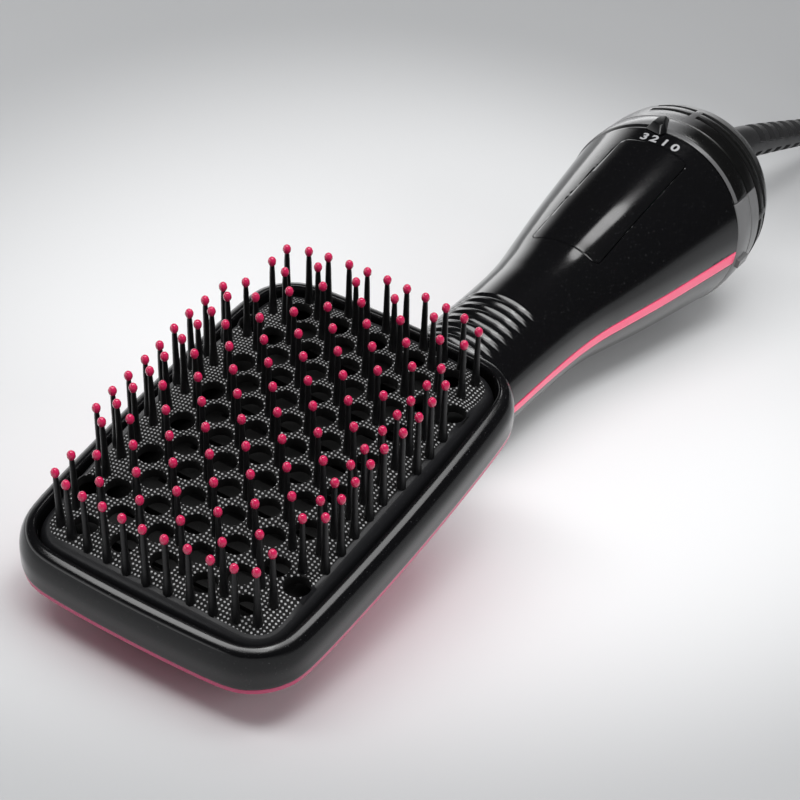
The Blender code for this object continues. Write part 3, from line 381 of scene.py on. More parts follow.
def ranged(tree, value, low, high, to_low=0.0, to_high=1.0):
    node = put(tree, "ShaderNodeMapRange", interpolation_type="SMOOTHSTEP")
    feed(tree, node.inputs["Value"], value)
    for name, number in (("From Min", low), ("From Max", high), ("To Min", to_low), ("To Max", to_high)):
        feed(tree, node.inputs[name], number)
    return node.outputs["Result"]


def blended(tree, share, first, second):
    node = put(tree, "ShaderNodeMix", data_type="RGBA")
    feed(tree, node.inputs["Factor"], share)
    feed(tree, node.inputs["A"], first)
    feed(tree, node.inputs["B"], second)
    return node.outputs["Result"]


def group(name, inputs, outputs):
    tree = bpy.data.node_groups.new(name, "ShaderNodeTree")
    for label, kind, default in inputs:
        socket = tree.interface.new_socket(name=label, in_out="INPUT", socket_type=kind)
        if default is not None:
            socket.default_value = default
    for label, kind in outputs:
        tree.interface.new_socket(name=label, in_out="OUTPUT", socket_type=kind)
    return tree, put(tree, "NodeGroupInput").outputs, put(tree, "NodeGroupOutput").inputs


VALUE, COLOUR, VECTOR = "NodeSocketFloat", "NodeSocketColor", "NodeSocketVector"


def moulded_surface():
    """Grain, hand marks and settled dust of a moulded part, in millimetres."""
    tree, given, out = group(
        "moulded_surface",
        [("Place", VECTOR, None), ("Colour", COLOUR, (0.01, 0.01, 0.01, 1)),
         ("Dust Colour", COLOUR, (0.3, 0.3, 0.31, 1)), ("Dust", VALUE, 0.0), ("Roughness", VALUE, 0.3),
         ("Marks", VALUE, 0.05), ("Grain Scale", VALUE, 4.0)],
        [("Color", COLOUR), ("Roughness", VALUE), ("Height", VALUE)])
    broad = noise(tree, given["Place"], 0.045, 4.0)
    smear = noise(tree, given["Place"], 0.22, 5.0, 0.6, (1.0, 0.35, 1.0))
    fleck = ranged(tree, noise(tree, given["Place"], 1.7, 2.0), 0.66, 0.78)
    dusty = maths(tree, "MULTIPLY", maths(tree, "MULTIPLY", fleck, broad), given["Dust"], clamp=True)
    feed(tree, out["Color"], blended(tree, dusty, given["Colour"], given["Dust Colour"]))
    swing = maths(tree, "SUBTRACT", maths(tree, "ADD", broad, smear), 1.0)
    marked = maths(tree, "MULTIPLY_ADD", swing, given["Marks"], given["Roughness"])
    feed(tree, out["Roughness"], maths(tree, "ADD", marked, maths(tree, "MULTIPLY", dusty, 0.3), clamp=True))
    feed(tree, out["Height"], noise(tree, given["Place"], given["Grain Scale"], 3.0))
    return tree


def bead_grain():
    """Rows of raised beads, as a height and a mask of their tops."""
    tree, given, out = group(
        "bead_grain", [("Place", VECTOR, None), ("Across", VALUE, 1.0), ("Along", VALUE, 1.0)],
        [("Height", VALUE), ("Tops", VALUE)])
    parts = put(tree, "ShaderNodeSeparateXYZ")
    feed(tree, parts.inputs[0], given["Place"])
    u = maths(tree, "DIVIDE", parts.outputs["X"], given["Across"])
    v = maths(tree, "DIVIDE", parts.outputs["Y"], given["Along"])
    waves = [maths(tree, "PINGPONG", along, 0.5) for along in (u, v)]
    lift = maths(tree, "MULTIPLY", maths(tree, "MULTIPLY", waves[0], waves[1]), 4.0)
    feed(tree, out["Height"], ranged(tree, lift, 0.1, 0.95))
    feed(tree, out["Tops"], ranged(tree, lift, 0.32, 0.6))
    return tree


def outline_mask():
    """One inside the paddle outline at an inset, nought outside it."""
    tree, given, out = group(
        "outline_mask",
        [("Place", VECTOR, None), ("Half X", VALUE, 40.0), ("Half Y", VALUE, 60.0), ("Corner", VALUE, 8.0)],
        [("Mask", VALUE)])
    parts = put(tree, "ShaderNodeSeparateXYZ")
    feed(tree, parts.inputs[0], given["Place"])
    x, y = parts.outputs["X"], parts.outputs["Y"]
    squares = []
    for along, half, over, over_half, share in ((x, given["Half X"], y, LIP_HALF_Y, BOW_X_SHARE),
                                                (y, given["Half Y"], x, LIP_HALF_X, BOW_Y_SHARE)):
        bow = maths(tree, "MULTIPLY", maths(tree, "POWER", maths(tree, "DIVIDE", over, over_half), 2.0), share)
        flat = maths(tree, "DIVIDE", maths(tree, "ABSOLUTE", along), maths(tree, "SUBTRACT", 1.0, bow))
        past = maths(tree, "SUBTRACT", flat, maths(tree, "SUBTRACT", half, given["Corner"]))
        squares.append(maths(tree, "POWER", maths(tree, "MAXIMUM", past, 0.0), 2.0))
    reach = maths(tree, "SQRT", maths(tree, "ADD", *squares))
    feed(tree, out["Mask"], ranged(tree, maths(tree, "SUBTRACT", reach, given["Corner"]), -0.25, 0.15, 1.0, 0.0))
    return tree


def worked_metal():
    """Fine drawn lines and uneven polish of a metal part."""
    tree, given, out = group(
        "worked_metal",
        [("Place", VECTOR, None), ("Roughness", VALUE, 0.3), ("Spread", VALUE, 0.1),
         ("Colour", COLOUR, (0.5, 0.5, 0.5, 1))],
        [("Color", COLOUR), ("Roughness", VALUE), ("Height", VALUE)])
    lines = noise(tree, given["Place"], 3.0, 4.0, 0.6, (1.0, 0.05, 4.0))
    stain = noise(tree, given["Place"], 0.15, 3.0)
    darker = maths(tree, "MULTIPLY", stain, 0.35)
    feed(tree, out["Color"], blended(tree, darker, given["Colour"], (0.08, 0.07, 0.06, 1)))
    swing = maths(tree, "SUBTRACT", lines, 0.5)
    feed(tree, out["Roughness"], maths(tree, "MULTIPLY_ADD", swing, given["Spread"], given["Roughness"], clamp=True))
    feed(tree, out["Height"], lines)
    return tree


GROUPS = {}


def grouped(name):
    if name not in GROUPS:
        GROUPS[name] = {"moulded_surface": moulded_surface, "bead_grain": bead_grain,
                        "outline_mask": outline_mask, "worked_metal": worked_metal}[name]()
    return GROUPS[name]


def use(tree, name, **values):
    node = put(tree, "ShaderNodeGroup", node_tree=grouped(name))
    for label, value in values.items():
        feed(tree, node.inputs[label.replace("_", " ")], value)
    return node.outputs


def local_place(tree, place, tilt):
    """Object coordinates as millimetres in the frame of the head, the grip or the room."""
    mapping = put(tree, "ShaderNodeMapping", vector_type="TEXTURE")
    feed(tree, mapping.inputs["Vector"], put(tree, "ShaderNodeTexCoord").outputs["Object"])
    mapping.inputs["Location"].default_value = tuple(v * MM for v in place)
    mapping.inputs["Rotation"].default_value = (math.radians(tilt), 0.0, 0.0)
    mapping.inputs["Scale"].default_value = (MM, MM, MM)
    return mapping.outputs["Vector"]


def blank(name):
    made = bpy.data.materials.new(name)
    made.use_nodes = True
    return made, made.node_tree, made.node_tree.nodes["Principled BSDF"]


def bumped(tree, shader, height, depth_mm):
    bump = put(tree, "ShaderNodeBump")
    bump.inputs["Strength"].default_value = 1.0
    bump.inputs["Distance"].default_value = depth_mm * MM
    feed(tree, bump.inputs["Height"], height)
    feed(tree, shader.inputs["Normal"], bump.outputs["Normal"])


def plastic(name, colour, roughness, marks, dust, grain, grain_mm, coat, shine, frame_of):
    made, tree, shader = blank(name)
    at = local_place(tree, *frame_of)
    tint = colour(tree, at) if callable(colour) else (*colour, 1)
    skin = use(tree, "moulded_surface", Place=at, Colour=tint, Dust=dust, Roughness=roughness, Marks=marks,
               Grain_Scale=grain)
    feed(tree, shader.inputs["Base Color"], skin["Color"])
    feed(tree, shader.inputs["Roughness"], skin["Roughness"])
    shader.inputs["Coat Weight"].default_value = coat
    shader.inputs["Coat Roughness"].default_value = 0.08
    shader.inputs["Specular IOR Level"].default_value = shine
    bumped(tree, shader, skin["Height"], grain_mm)
    return made


def collar_painted_sheen(tree, at):
    """Painted sheen: grey on the left of the collar, standing in for its lit side, black on its right."""
    parts = put(tree, "ShaderNodeSeparateXYZ")
    feed(tree, parts.inputs[0], at)
    return blended(tree, ranged(tree, parts.outputs["X"], *COLLAR_SHEEN_FADE), COLLAR_SHEEN_GREY, COLLAR_BLACK)


def metal(name, colour, roughness):
    made, tree, shader = blank(name)
    skin = use(tree, "worked_metal", Place=local_place(tree, *ROOM_FRAME), Roughness=roughness, Spread=METAL_SPREAD,
               Colour=(*colour, 1))
    shader.inputs["Metallic"].default_value = 1.0
    feed(tree, shader.inputs["Base Color"], skin["Color"])
    feed(tree, shader.inputs["Roughness"], skin["Roughness"])
    bumped(tree, shader, skin["Height"], METAL_LINES_MM)
    return made


def woven_plate(name, colour):
    made, tree, shader = blank(name)
    at = local_place(tree, *HEAD_FRAME)
    skin = use(tree, "moulded_surface", Place=at, Colour=(*colour, 1), Dust=0.3, Roughness=0.4, Marks=0.08,
               Grain_Scale=3.0)
    weave = use(tree, "bead_grain", Place=at, Across=BEAD_PITCH, Along=BEAD_PITCH)
    inset = PLATE_INSET + WEAVE_INSET
    mask = use(tree, "outline_mask", Place=at, Half_X=LIP_HALF_X - inset, Half_Y=LIP_HALF_Y - inset,
               Corner=LIP_CORNER - inset)["Mask"]
    raised = maths(tree, "MULTIPLY", weave["Tops"], mask)
    sunk = maths(tree, "MULTIPLY", maths(tree, "SUBTRACT", 1.0, weave["Tops"]), mask)
    # Between the beads the plate is painted darker, painted shade in the hollows.
    ground = blended(tree, sunk, skin["Color"], WEAVE_PAINTED_SHADE)
    # The bead tops are painted lighter, a painted glint.
    feed(tree, shader.inputs["Base Color"], blended(tree, raised, ground, WEAVE_PAINTED_GLINT))
    duller = maths(tree, "MULTIPLY_ADD", sunk, 0.4, skin["Roughness"])
    feed(tree, shader.inputs["Roughness"], maths(tree, "MULTIPLY_ADD", raised, -0.12, duller))
    shader.inputs["Specular IOR Level"].default_value = 0.4
    bumped(tree, shader, maths(tree, "MULTIPLY", weave["Height"], mask), WEAVE_MM)
    return made


GRIP_FRAME, HEAD_FRAME, ROOM_FRAME = (GRIP_PLACE, GRIP_TILT), (HEAD_PLACE, HEAD_TILT), ((0.0, 0.0, 0.0), 0.0)
# The collar's grey is a painted sheen on the left of the dial and cap.
COLLAR_SHEEN_FADE, COLLAR_SHEEN_GREY, COLLAR_BLACK = (-6.0, 9.0), (0.2, 0.2, 0.203, 1), (0.004, 0.004, 0.004, 1)
METAL_SPREAD, METAL_LINES_MM = 0.1, 0.01
# The weave's top colour is a painted glint on the beads, its sunk colour painted shade between them.
WEAVE_PAINTED_GLINT, WEAVE_PAINTED_SHADE, WEAVE_MM, WEAVE_SHARE = (0.42, 0.42, 0.425, 1), (0.002, 0.002, 0.002, 1), 0.22, 2.5

# Colour, or the setting that holds it; roughness, marks, dust, grain and its depth in mm; coat, specular; frame
PLASTICS = {
    "grip_gloss": ("black", 0.13, 0.05, 0.3, 1.2, 0.002, 0.2, 0.45, GRIP_FRAME),
    "panel_gloss": ("black", 0.12, 0.04, 0.3, 1.2, 0.001, 0.2, 0.45, GRIP_FRAME),
    # The dial and cap take the collar colour, with its painted sheen on the left.
    "dial_gloss": (collar_painted_sheen, 0.25, 0.06, 0.2, 2.0, 0.002, 0.2, 0.5, GRIP_FRAME),
    "cap_gloss": (collar_painted_sheen, 0.28, 0.06, 0.2, 2.0, 0.003, 0.0, 0.5, GRIP_FRAME),
    "pointer_black": ("black", 0.3, 0.06, 0.2, 2.0, 0.003, 0.0, 0.5, GRIP_FRAME),
    # This grey is a painted highlight along the front chamfer of the upper dial ring.
    "rim_grey": ((0.1, 0.1, 0.102), 0.3, 0.06, 0.2, 2.0, 0.003, 0.0, 0.5, GRIP_FRAME),
    "dial_satin": ((0.15, 0.15, 0.152), 0.3, 0.06, 0.2, 5.0, 0.004, 0.0, 0.5, GRIP_FRAME),
    "bumper_satin": ("black", 0.17, 0.08, 0.4, 5.0, 0.004, 0.15, 0.35, HEAD_FRAME),
    "pin_black": ("black", 0.4, 0.06, 0.2, 3.0, 0.003, 0.05, 0.35, HEAD_FRAME),
    "pin_pink": ("tip", 0.2, 0.06, 0.1, 3.0, 0.002, 0.6, 0.5, HEAD_FRAME),
    # The shell is darker than the stripe pink: its own pink with painted shade under the head.
    "shell_pink": ("shell", 0.3, 0.06, 0.3, 4.0, 0.004, 0.2, 0.5, HEAD_FRAME),
    "stripe_pink": ("pink", 0.3, 0.05, 0.1, 4.0, 0.003, 0.2, 0.5, GRIP_FRAME),
    "mark_white": ((0.36, 0.36, 0.37), 0.5, 0.1, 0.0, 6.0, 0.002, 0.0, 0.5, GRIP_FRAME),
    "lead_rubber": ((0.02, 0.02, 0.021), 0.45, 0.12, 0.8, 3.0, 0.02, 0.0, 0.5, ROOM_FRAME),
    # This black is the colour of the inner parts, and painted shade in the holes, slots, relief gaps and inside the
    # back shell.
    "cavity_black": ((0.006, 0.006, 0.006), 0.8, 0.1, 0.2, 2.0, 0.01, 0.0, 0.5, ROOM_FRAME),
    "mica_sheet": ((0.5, 0.44, 0.32), 0.45, 0.2, 0.6, 1.0, 0.02, 0.0, 0.5, ROOM_FRAME),
    "board_green": ((0.03, 0.16, 0.07), 0.4, 0.1, 0.4, 2.0, 0.006, 0.0, 0.5, ROOM_FRAME),
}
METALS = {
    "drawn_steel": ((0.55, 0.55, 0.56), 0.32),
    "heater_wire": ((0.42, 0.32, 0.24), 0.4),
    "blade_nickel": ((0.7, 0.68, 0.62), 0.24),
}
NODE_LOOKS = {
    "cavity_black": ["air_baffle", "lint_filter", "fan", "collar_sleeve", "selector_switch", "swivel_retainer",
                     "motor_mount"],
    "mica_sheet": ["heater_sleeve", "mica_cross"],
    "drawn_steel": ["motor", "motor_shaft", "thermostat"],
    "heater_wire": ["heater_coil"],
    "board_green": ["circuit_board"],
    "blade_nickel": ["plug_blade_left", "plug_blade_right"],
}
LOOKS = {}


def look(key):
    """Each finish is made once, when a piece first asks for it."""
    if key not in LOOKS:
        finish = bpy.context.scene.brush_finish
        if key == "plate_weave":
            LOOKS[key] = woven_plate(key, tuple(WEAVE_SHARE * v for v in tuple(finish.black)))
        elif key in METALS:
            LOOKS[key] = metal(key, *METALS[key])
        else:
            colour, *rest = PLASTICS[key]
            LOOKS[key] = plastic(key, tuple(getattr(finish, colour)) if isinstance(colour, str) else colour, *rest)
    return LOOKS[key]


# Settings
class BrushFinish(bpy.types.PropertyGroup):
    black: FloatVectorProperty(name="Black", description="Colour of the black mouldings", subtype="COLOR",
                               default=(0.004, 0.004, 0.0045), min=0.0, max=1.0)
    pink: FloatVectorProperty(name="Pink", description="Colour of the side stripes", subtype="COLOR",
                              default=(1.0, 0.095, 0.215), min=0.0, max=1.0)
    # The shell colour is the back shell's pink, darkened as painted shade under the head.
    shell: FloatVectorProperty(name="Shell", description="Colour of the back shell", subtype="COLOR",
                               default=(0.5, 0.04, 0.13), min=0.0, max=1.0)
    tip: FloatVectorProperty(name="Tips", description="Colour of the ball tips", subtype="COLOR",
                             default=(0.55, 0.014, 0.085), min=0.0, max=1.0)


class BrushSizes(bpy.types.PropertyGroup):
    groove_depth: FloatProperty(name="Groove depth", description="Depth of the finger grooves on the neck",
                                subtype="DISTANCE", unit="LENGTH", default=GROOVE_DEEP * MM, min=0.0, max=0.002)
    edge_round: FloatProperty(name="Edge round", description="Rounding of the moulded edges along the seams",
                              subtype="DISTANCE", unit="LENGTH", default=0.00015, min=0.0, max=0.0005)


# Camera, lamps and table
class BRUSH_OT_stage(bpy.types.Operator):
    """Adds the table, the soft studio lamps and the camera"""
    bl_idname = "brush.stage"
    bl_label = "Stage"

    def execute(self, context):
        scene = context.scene
        right, up = Vector(EYE_RIGHT), Vector(EYE_UP)
        back = right.cross(up)
        data = bpy.data.cameras.new("camera")
        data.lens, data.sensor_width = LENS, SENSOR
        data.clip_end = 50.0
        camera = bpy.data.objects.new("camera", data)
        camera.matrix_world = Matrix((right, up, back)).transposed().to_4x4()
        camera.location = EYE
        scene.collection.objects.link(camera)
        scene.camera = camera
        self.table(scene)
        self.room(scene)
        for name, shape, place, aim, size, roll, power, mirrored_in in LAMPS:
            lamp = bpy.data.lights.new(name, "AREA")
            lamp.shape, lamp.size, lamp.size_y, lamp.energy = shape, size[0], size[1], power
            holder = bpy.data.objects.new(name, lamp)
            holder.visible_glossy = mirrored_in
            holder.location = place
            turned = (Vector(aim) - Vector(place)).to_track_quat("-Z", "Y").to_matrix()
            holder.rotation_euler = (turned @ Matrix.Rotation(math.radians(roll), 3, "Z")).to_euler()
            scene.collection.objects.link(holder)
        scene.view_settings.view_transform = "Standard"
        return {"FINISHED"}

    def table(self, scene):
        work = bmesh.new()
        bmesh.ops.create_grid(work, x_segments=2, y_segments=2, size=FLOOR_HALF)
        mesh = bpy.data.meshes.new("table_top")
        work.to_mesh(mesh)
        work.free()
        made, tree, shader = blank("table_white")
        at = put(tree, "ShaderNodeTexCoord").outputs["Object"]
        parts = put(tree, "ShaderNodeSeparateXYZ")
        feed(tree, parts.inputs[0], at)
        # The table colour is a painted pool of light: lightest round the brush, darker out along each fade, and pale
        # again far off, where the lamps' light falls away.
        cloud = noise(tree, at, CLOUD_SCALE, 2.0)
        dim = maths(tree, "MULTIPLY_ADD", cloud, CLOUD_SHARE, -CLOUD_SHARE / 2)
        for (x_share, y_share), reach, low in FLOOR_FADES:
            along = maths(tree, "MULTIPLY", parts.outputs["Y"], y_share)
            along = maths(tree, "MULTIPLY_ADD", parts.outputs["X"], x_share, along)
            share = maths(tree, "MAXIMUM", maths(tree, "DIVIDE", along, reach), low)
            dim = maths(tree, "ADD", dim, maths(tree, "POWER", share, 2.0))
        span = put(tree, "ShaderNodeVectorMath", operation="LENGTH")
        feed(tree, span.inputs[0], at)
        near = ranged(tree, span.outputs["Value"], *FADE_ENDS, 1.0, 0.1)
        dim = maths(tree, "MULTIPLY", ranged(tree, dim, 0.0, FADE_FULL), near)
        feed(tree, shader.inputs["Base Color"], blended(tree, dim, FLOOR_POOL_LIT, FLOOR_POOL_SHADED))
        feed(tree, shader.inputs["Roughness"], ranged(tree, cloud, 0.2, 0.8, 0.45, 0.6))
        mesh.materials.append(made)
        top = bpy.data.objects.new("table_top", mesh)
        scene.collection.objects.link(top)

    def room(self, scene):
        world = bpy.data.worlds.new("studio")
        world.use_nodes = True
        scene.world = world
        tree = world.node_tree
        parts = put(tree, "ShaderNodeSeparateXYZ")
        feed(tree, parts.inputs[0], put(tree, "ShaderNodeTexCoord").outputs["Generated"])
        leftward = ranged(tree, parts.outputs["X"], *BAND_LEFT)
        above = ranged(tree, maths(tree, "MULTIPLY_ADD", leftward, BAND_DROP, parts.outputs["Z"]), *BAND_FADE)
        mirrored_sky = blended(tree, above, BAND_LIGHT, BAND_DARK)
        glossy = put(tree, "ShaderNodeLightPath").outputs["Is Glossy Ray"]
        feed(tree, tree.nodes["Background"].inputs["Color"], blended(tree, glossy, ROOM_LIGHT, mirrored_sky))


# Head
class BRUSH_OT_bumper(bpy.types.Operator):
    """Rolls the bumper round the paddle, with its raised lip"""
    bl_idname = "brush.bumper"
    bl_label = "Bumper"

    def execute(self, context):
        work = bmesh.new()
        section = [tuple(point) for point in eased(BUMPER_ROLL, 3)] + BUMPER_FOOT
        lofted(work, [[(x, y, height) for x, y in paddle(offset)] for offset, height in section], looped=True)
        welded(work)
        piece("bumper", work, ["bumper_satin"], HEAD, "brush", ["head_bumper"])
        return {"FINISHED"}


def row_places(even, odd):
    return [(across * PITCH_X, FIRST_ROW + row * PITCH_Y)
            for row in range(ROWS) for across in (odd if row % 2 else even)]


def mirrored(places):
    return [(side * x, y) for x, y in places for side in ((1, -1) if x else (1,))]


def hole_ring(x, y, radius, height):
    turns = [TURN * step / HOLE_SIDES for step in range(HOLE_SIDES)]
    return [(x + radius * math.cos(t), y + radius * math.sin(t), height + dome(x, y)) for t in turns]


class BRUSH_OT_plate(bpy.types.Operator):
    """Fills the domed plate round its air holes and closes it below"""
    bl_idname = "brush.plate"
    bl_label = "Bristle plate"

    def execute(self, context):
        work = bmesh.new()
        holes = row_places(ODD_ROW, EVEN_ROW) + mirrored(CORNER_HOLES)
        rolled = [tuple(point) for point in eased(PLATE_ROLL, 4)]
        rims = [[(x, y, height + dome(x, y)) for x, y in paddle(-PLATE_INSET - inset)] for inset, height in rolled]
        skirt = [(x, y, PLATE_SKIRT) for x, y in paddle(-PLATE_INSET)]
        flange = paddle(-PLATE_INSET - PLATE_FLANGE)
        under = [[(x, y, dome(x, y) - PLATE_THICK) for x, y in flange], [(x, y, PLATE_SKIRT) for x, y in flange]]
        low_edges, top_edges = lofted(work, under + [skirt] + rims)
        upper, lower = list(top_edges), list(low_edges)
        for x, y in holes:
            first, last = lofted(work, [hole_ring(x, y, HOLE_R + wider, height) for wider, height in HOLE_RIM])
            upper += first
            lower += last
        for edges in (upper, lower):
            bmesh.ops.triangle_fill(work, edges=edges, use_beauty=True, use_dissolve=False, normal=(0, 0, 1))
        welded(work)
        # Faces inside the holes take the dark finish, painted shade down the hole walls.
        for face in work.faces:
            middle = face.calc_center_median()
            in_hole = any((middle.x - x) ** 2 + (middle.y - y) ** 2 < HOLE_R ** 2 for x, y in holes)
            face.material_index = int(in_hole)
        piece("bristle_plate_top", work, ["plate_weave", "cavity_black"], HEAD, "brush", ["bristle_plate"],
              35.0)
        return {"FINISHED"}


class BRUSH_OT_pins(bpy.types.Operator):
    """Stands the tapered pins on the plate and sets a ball tip on each"""
    bl_idname = "brush.pins"
    bl_label = "Pins"

    def execute(self, context):
        places = row_places(EVEN_ROW, ODD_ROW) + mirrored(FRONT_PINS + BACK_PINS + INNER_PINS + OUTER_PINS)
        stalk, ball = bmesh.new(), bmesh.new()
        spun(stalk, STALK, STALK_SIDES)
        bmesh.ops.holes_fill(stalk, edges=stalk.edges, sides=0)
        welded(stalk)
        bmesh.ops.create_uvsphere(ball, u_segments=TIP_SIDES, v_segments=TIP_RINGS, radius=TIP_R)
        bmesh.ops.scale(ball, vec=(1.0, 1.0, TIP_TALL / TIP_R), verts=ball.verts)
        bmesh.ops.translate(ball, vec=(0.0, 0.0, TIP_AT), verts=ball.verts)
        for one, name, finish, slot in ((stalk, "pin_stalks", "pin_black", "plate_black"),
                                        (ball, "pin_tips", "pin_pink", "pink_gloss")):
            all_of = bmesh.new()
            shape = bpy.data.meshes.new(name + "_shape")
            one.to_mesh(shape)
            one.free()
            for x, y in places:
                lean = Vector((2 * DOME_X * x * SPLAY_SHARE, 2 * DOME_Y * y * SPLAY_SHARE, 1.0)).normalized()
                before = len(all_of.verts)
                all_of.from_mesh(shape)
                all_of.verts.ensure_lookup_table()
                turned = lean.to_track_quat("Z", "X").to_matrix().to_4x4()
                stood = Matrix.Translation((x, y, dome(x, y))) @ turned
                bmesh.ops.transform(all_of, matrix=stood, verts=all_of.verts[before:])
            bpy.data.meshes.remove(shape)
            piece(name, all_of, [finish], HEAD, "brush", ["bristle_plate"], 60.0)
        return {"FINISHED"}


def bent(rim, foot, share):
    """A point on the side of the bowl, which leaves the rim at a slope and runs out flat at the foot."""
    run, drop = (rim - foot).xy.length, rim.z - foot.z
    frontness = max(0.0, min(1.0, FRONT_SHARE * (foot.y - rim.y) / run))
    slope = math.tan(math.radians(SIDE_SLOPE + (FRONT_SLOPE - SIDE_SLOPE) * frontness))
    knee = min(KNEE_DROP_SHARE * drop / slope, KNEE_RUN_SHARE * run)
    plan = (2 * share * (1 - share) * knee + share ** 2 * run) / run
    down = 2 * share * (1 - share) * knee * slope + share ** 2 * drop
    return Vector((*rim.xy.lerp(foot.xy, plan), rim.z - down))


class BRUSH_OT_back_shell(bpy.types.Operator):
    """Draws the back shell down from the bumper to its flat foot"""
    bl_idname = "brush.back_shell"
    bl_label = "Back shell"

    def execute(self, context):
        work = bmesh.new()
        to_room = ROOM.inverted() @ HEAD
        rings = []
        for inset in (0.0, HULL_WALL):
            edge = paddle(HULL_OFFSET - 2 * inset)
            rim = [to_room @ Vector((x, y, HULL_TOP - HULL_LIP + inset)) for x, y in edge]
            foot = relaxed(outline(FOOT_HALF_X - inset, FOOT_HALF_Y - inset, FOOT_CORNER - inset))
            foot = [Vector((x, y + FOOT_Y, inset)) for x, y in foot]
            sweep = [[to_room @ Vector((x, y, HULL_TOP)) for x, y in edge], rim]
            for step in range(1, HULL_STEPS + 1):
                sweep.append([bent(top, low, step / HULL_STEPS) for top, low in zip(rim, foot)])
            rings.append(sweep)
        first, last = lofted(work, rings[0][::-1] + rings[1])
        for edges in (first, last):
            bmesh.ops.edgeloop_fill(work, edges=edges)
        welded(work)
        # Faces that point inward take the dark finish, painted shade inside the shell in place of its pink.
        middle = to_room @ Vector((0.0, 0.0, HULL_TOP))
        for face in work.faces:
            face.material_index = int(face.normal.dot(face.calc_center_median() - middle) < 0)
        piece("back_shell_bowl", work, ["shell_pink", "cavity_black"], ROOM, "brush", ["back_shell"],
              35.0)
        work = bmesh.new()
        spun(work, SOCKET, SOCKET_STEPS)
        walled(work, SOCKET_WALL)
        piece("neck_socket", work, ["grip_gloss"], GRIP, "brush", ["back_shell"], 35.0)
        return {"FINISHED"}


# Grip
def grip_line(belly=False, proud=0.0):
    skin = GRIP_SKIN[:-len(BELLY_END)] + BELLY_END if belly else GRIP_SKIN
    return [(point[0] + proud, point[1]) for point in eased(skin, 8)]


def grooved(work, depth):
    """Sinks the finger grooves into the top of the neck, each fading out at its ends."""
    for vert in work.verts:
        turn = math.degrees(math.atan2(vert.co.x, -vert.co.y))
        past = (GROOVE_FIRST + GROOVE_PITCH / 2 - vert.co.z) / GROOVE_PITCH
        if not 0.0 < past < GROOVES or abs(turn) > GROOVE_REACH:
            continue
        across = abs(2 * (past % 1.0) - 1.0)
        dip = max(0.0, 1.0 - across / GROOVE_WIDE_SHARE) ** GROOVE_EASE
        fade = math.cos(math.radians(90 * turn / GROOVE_REACH)) ** GROOVE_EASE
        out = vert.co.xy.normalized() * depth * dip * fade
        vert.co.x -= out.x
        vert.co.y -= out.y


def panel_outline(grow):
    half, rear, front, corner = PANEL_HALF + grow, PANEL_REAR + grow, PANEL_FRONT - grow, PANEL_CORNER + grow
    points = []
    for x, z, start in ((half - corner, front + corner, -90), (half - corner, rear - corner, 0),
                        (corner - half, rear - corner, 90), (corner - half, front + corner, 180)):
        for step in range(7):
            turn = math.radians(start + 15 * step)
            points.append(Vector((x + corner * math.cos(turn), 0.0, z + corner * math.sin(turn))))
    return points


def inside_outline(work, points):
    """Cuts the outline into the upper skin and returns the faces inside it."""
    inside = [face for face in work.faces if face.calc_center_median().y < 0]
    for first, second in zip(points, points[1:] + points[:1]):
        span = second - first
        normal = Vector((span.z, 0.0, -span.x)).normalized()
        near = [face for face in inside if any((vert.co - first).dot(normal) > -MEET for vert in face.verts)]
        rest = [face for face in inside if face not in set(near)]
        parts = list({part for face in near for part in (*face.verts, *face.edges)}) + near
        cut = bmesh.ops.bisect_plane(work, geom=parts, dist=MM, plane_co=first, plane_no=normal)["geom"]
        faces = [part for part in cut if isinstance(part, bmesh.types.BMFace)]
        inside = rest + [face for face in faces if (face.calc_center_median() - first).dot(normal) < 0]
    return inside


def grip_skin(depth):
    work = bmesh.new()
    line = []
    for first, second in zip(grip_line(), grip_line()[1:]):
        line.append(first)
        if second[1] < GROOVE_FIRST + GROOVE_PITCH:
            parts = max(1, round((first[1] - second[1]) / GROOVE_STEP))
            line += [tuple(a + (b - a) * k / parts for a, b in zip(first, second)) for k in range(1, parts)]
    line.append(grip_line()[-1])
    spun(work, line)
    grooved(work, depth)
    return work


